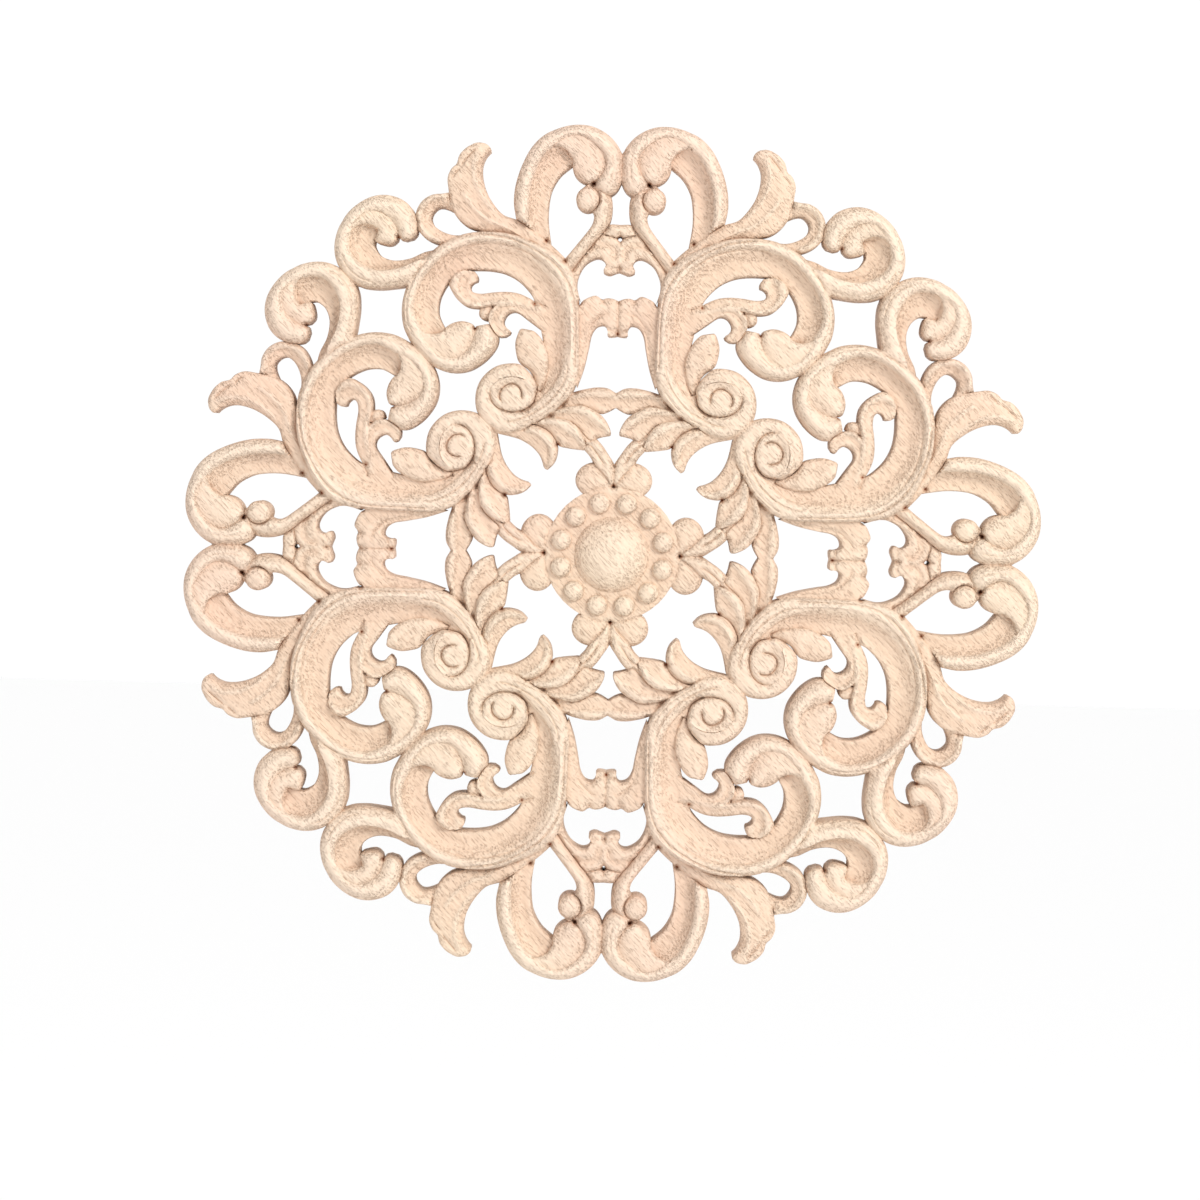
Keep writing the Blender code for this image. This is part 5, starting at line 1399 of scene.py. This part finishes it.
def ramp(value, span, out=(0.0, 1.0)):
    """The value stretched from its span to 0..1, or to `out`, and cut off there."""
    ends = {"From_Min": span[0], "From_Max": span[1], "To_Min": out[0], "To_Max": out[1]}
    return new_node(tree, "ShaderNodeMapRange", Value=value, **ends).outputs["Result"]


print("noise and ramps are ready;", len(tree.nodes), "nodes so far")

# %% [markdown]
# ## Sums and tints
# Every mark on the wood is a tint over what is below it, like thin washes of stain. One helper mixes a
# colour over another by an amount, and one does the arithmetic on the amounts.

# %% Sums and tints
def worked(operation, first, second=0.0):
    """The result of a Math node on two values or sockets."""
    node = new_node(tree, "ShaderNodeMath", operation=operation)
    for socket, value in zip(node.inputs, (first, second)):
        if isinstance(value, float):
            socket.default_value = value
        else:
            tree.links.new(value, socket)
    return node.outputs["Value"]


def tinted(base, colour, amount):
    """The base colour mixed towards another by an amount."""
    node = new_node(tree, "ShaderNodeMix", data_type="RGBA", Factor=amount)
    first, second = (socket for socket in node.inputs if socket.type == "RGBA")
    if isinstance(base, tuple):
        first.default_value = (*base, 1)
    else:
        tree.links.new(base, first)
    second.default_value = (*colour, 1)
    return next(socket for socket in node.outputs if socket.type == "RGBA")


print("sums and tints are ready;", len(tree.nodes), "nodes so far")

# %% [markdown]
# ## Colour of the board
# Rubberwood is pale cream with a pink tinge, in broad soft bands along the grain, and a little yellower in
# patches. Two slow noises mix the three colours, because a flat colour would look like plastic.

# %% Colour of the board
CREAM = (0.7, 0.55, 0.425)
PINK = (0.69, 0.507, 0.397)
YELLOW = (0.71, 0.567, 0.427)
# each noise: scale, detail, and its share along the grain
BROAD_BANDS = (70.0, 2.0, 0.5)
WIDE_PATCHES = (25.0, 1.0)
BAND_SPAN = (0.4, 0.62)
PATCH_SPAN = (0.45, 0.65)

colour = tinted(CREAM, PINK, ramp(noise(*BROAD_BANDS), BAND_SPAN))
colour = tinted(colour, YELLOW, ramp(noise(*WIDE_PATCHES), PATCH_SPAN))
print("board colour with", len(tree.nodes), "nodes")

# %% [markdown]
# ## Pores and streaks
# The pores of this wood are open. Along the grain they show as short fine streaks, and where a slope cuts
# across the grain, as dark specks. The slope comes from the surface normal in the same coordinates. The
# specks are the cells of a Voronoi pattern, crowded in some patches and missing in others, as in real end
# grain.

# %% Pores and streaks
PORE = (0.37, 0.22, 0.13)
SLOPE_SPAN, SLOPE_SHARE = (0.1, 0.5), (0.2, 1.0)
ROUGH_PATCHES, ROUGH_SPAN, ROUGH_SHARE = (160.0, 2.0), (0.35, 0.6), (0.1, 0.6)
CELL_SCALE, CELL_SHARE = 3400.0, 0.55
DOT_SPAN, CROWD_SPAN, DOT_TINT = (0.3, 0.55), (0.6, 0.85), (0.0, 0.42)
STREAKS, STREAK_SPAN, STREAK_TINT = (6500.0, 1.0, 0.1), (0.62, 0.68), (0.0, 0.5)
HATCHING, HATCH_SPAN, HATCH_TINT = (3000.0, 1.0, 0.03), (0.45, 0.62), (0.0, 0.18)
WHOLE = (0.0, 1.0)

across_grain = new_node(tree, "ShaderNodeVectorMath", operation="DOT_PRODUCT")
tree.links.new(coords["Normal"], across_grain.inputs[0])
across_grain.inputs[1].default_value = (math.cos(GRAIN_TURN), 0, -math.sin(GRAIN_TURN))
end_grain = ramp(worked("ABSOLUTE", across_grain.outputs["Value"]), SLOPE_SPAN, SLOPE_SHARE)

rough = ramp(noise(*ROUGH_PATCHES), ROUGH_SPAN, ROUGH_SHARE)
cells = new_node(tree, "ShaderNodeTexVoronoi", Vector=stretched(CELL_SHARE), Scale=CELL_SCALE).outputs
dots = ramp(cells["Distance"], DOT_SPAN, (1.0, 0.0))
crowded = ramp(worked("ADD", cells["Color"], rough), CROWD_SPAN)
pores = worked("MULTIPLY", worked("MULTIPLY", dots, crowded), end_grain)
streaks = ramp(noise(*STREAKS), STREAK_SPAN)
hatching = noise(*HATCHING)

colour = tinted(colour, PORE, ramp(hatching, HATCH_SPAN, HATCH_TINT))
colour = tinted(colour, PORE, ramp(streaks, WHOLE, STREAK_TINT))
colour = tinted(colour, PORE, ramp(pores, WHOLE, DOT_TINT))
print("with pores and streaks,", len(tree.nodes), "nodes")

# %% [markdown]
# ## Painted highlight and shade: crests, creases and pits
# Crests and high ground are painted paler, as a highlight, and low ground is a little darker and tanner.
# Creases get painted shade with their brown dust, and the deepest pits a rust brown that is partly scorched
# wood and partly painted shade. These tints read the two attributes that were stored with the mesh.

# %% Painted highlight and shade: crests, creases and pits
# attribute, colour, the span of the attribute, and how strong the tint is at its two ends
TINTS = [
    # painted highlight: all but the crests a little darker and tanner, crests and high ground painted pale
    ("crest", (0.70, 0.50, 0.37), (0.0, 0.3), (0.4, 0.0)),
    ("crest", (0.80, 0.67, 0.55), (0.0, 1.0), (0.0, 0.5)),
    # painted shade: brown in the creases with their dust, rust brown in the deepest pits with their scorch
    ("crease_shade", (0.36, 0.16, 0.075), (0.3, 1.0), (0.0, 0.6)),
    ("crease_shade", (0.3, 0.07, 0.02), (1.0, 1.2), (0.0, 0.9)),
]
for attribute_name, tint, span, strength in TINTS:
    value = new_node(tree, "ShaderNodeAttribute", attribute_name=attribute_name).outputs["Fac"]
    colour = tinted(colour, tint, ramp(value, span, strength))
tree.links.new(colour, shader.inputs["Base Color"])
print("with crests and creases,", len(tree.nodes), "nodes")

# %% [markdown]
# ## Feel of the surface
# Under a finger the raw wood has fine ridges of fibre, and each pore is a tiny dip. A bump of a fifth of a
# millimetre carries both. It is far too fine for triangles, and it moves with the grain, not with the
# carving.

# %% Bump
BUMP_HEIGHT = 0.0002
BUMP_STRENGTH = 0.75
HATCH_SHARE = 0.8
FIBRES = (2600.0, 3.0, 0.25)

relief = worked("ADD", worked("MULTIPLY", hatching, HATCH_SHARE), noise(*FIBRES))
relief = worked("SUBTRACT", worked("SUBTRACT", relief, pores), streaks)
bump = new_node(tree, "ShaderNodeBump", Height=relief, Strength=BUMP_STRENGTH, Distance=BUMP_HEIGHT)
tree.links.new(bump.outputs["Normal"], shader.inputs["Normal"])
print("wood finish with", len(tree.nodes), "nodes")

# %% [markdown]
# ## Eight eighths
# A carver flips one paper pattern over eight times. A small Geometry Nodes tree does the same: it mirrors
# the eighth across the diagonal, then across the upright axis, then across the level one, and joins each
# copy to what it has. Mirroring turns faces inside out, so each copy is flipped back. The points along the
# folds are welded.

# %% Geometry Nodes tree
WELD = 1e-6
pattern = bpy.data.node_groups.new("eight eighths", "GeometryNodeTree")
pattern.interface.new_socket("Geometry", in_out="INPUT", socket_type="NodeSocketGeometry")
weld_socket = pattern.interface.new_socket("Weld", in_out="INPUT", socket_type="NodeSocketFloat")
weld_socket.default_value = WELD
pattern.interface.new_socket("Geometry", in_out="OUTPUT", socket_type="NodeSocketGeometry")
given = new_node(pattern, "NodeGroupInput").outputs


def mirrored(current, turn, scale):
    """The geometry joined with its mirror image."""
    copy = new_node(pattern, "GeometryNodeTransform", Geometry=current, Rotation=turn, Scale=scale)
    flip = new_node(pattern, "GeometryNodeFlipFaces", Mesh=copy.outputs["Geometry"])
    join = new_node(pattern, "GeometryNodeJoinGeometry", Geometry=current)
    pattern.links.new(flip.outputs["Mesh"], join.inputs["Geometry"])
    return join.outputs["Geometry"]


current = mirrored(given["Geometry"], (0, -math.pi / 2, 0), (1, 1, -1))
current = mirrored(current, (0, 0, 0), (-1, 1, 1))
current = mirrored(current, (0, 0, 0), (1, 1, -1))
weld = new_node(pattern, "GeometryNodeMergeByDistance", Geometry=current, Distance=given["Weld"])
smooth = new_node(pattern, "GeometryNodeSetShadeSmooth", Geometry=weld.outputs["Geometry"])
real = new_node(pattern, "GeometryNodeRealizeInstances", Geometry=smooth.outputs["Geometry"])
dressed = new_node(pattern, "GeometryNodeSetMaterial", Geometry=real.outputs["Geometry"], Material=wood)
new_node(pattern, "NodeGroupOutput", Geometry=dressed.outputs["Geometry"])
print("pattern tree with", len(pattern.nodes), "nodes")

# %% [markdown]
# ## The whole rosette
# The tree runs as a modifier on the eighth. Its result becomes a plain mesh, with edges kept sharp where
# the walls meet the face and the back, and the eighth itself is taken away.

# %% The whole rosette
SHARP = math.radians(48)
modifier = eighth.modifiers.new("eight eighths", "NODES")
modifier.node_group = pattern
modifier[weld_socket.identifier] = WELD
graph = bpy.context.evaluated_depsgraph_get()
carving_mesh = bpy.data.meshes.new_from_object(eighth.evaluated_get(graph))
carving_mesh.name = "carving"
bpy.data.objects.remove(eighth)
carving_mesh.set_sharp_from_angle(angle=SHARP)
carving = add_object("carving", carving_mesh)
carving_mesh.calc_loop_triangles()
print("carving:", len(carving_mesh.vertices), "points,", len(carving_mesh.loop_triangles), "triangles")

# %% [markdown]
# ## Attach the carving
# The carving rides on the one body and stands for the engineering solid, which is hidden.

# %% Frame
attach(carving, "root")
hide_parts("rosette")
print("the carving rides on root and stands for rosette")

bpy.context.view_layer.update()
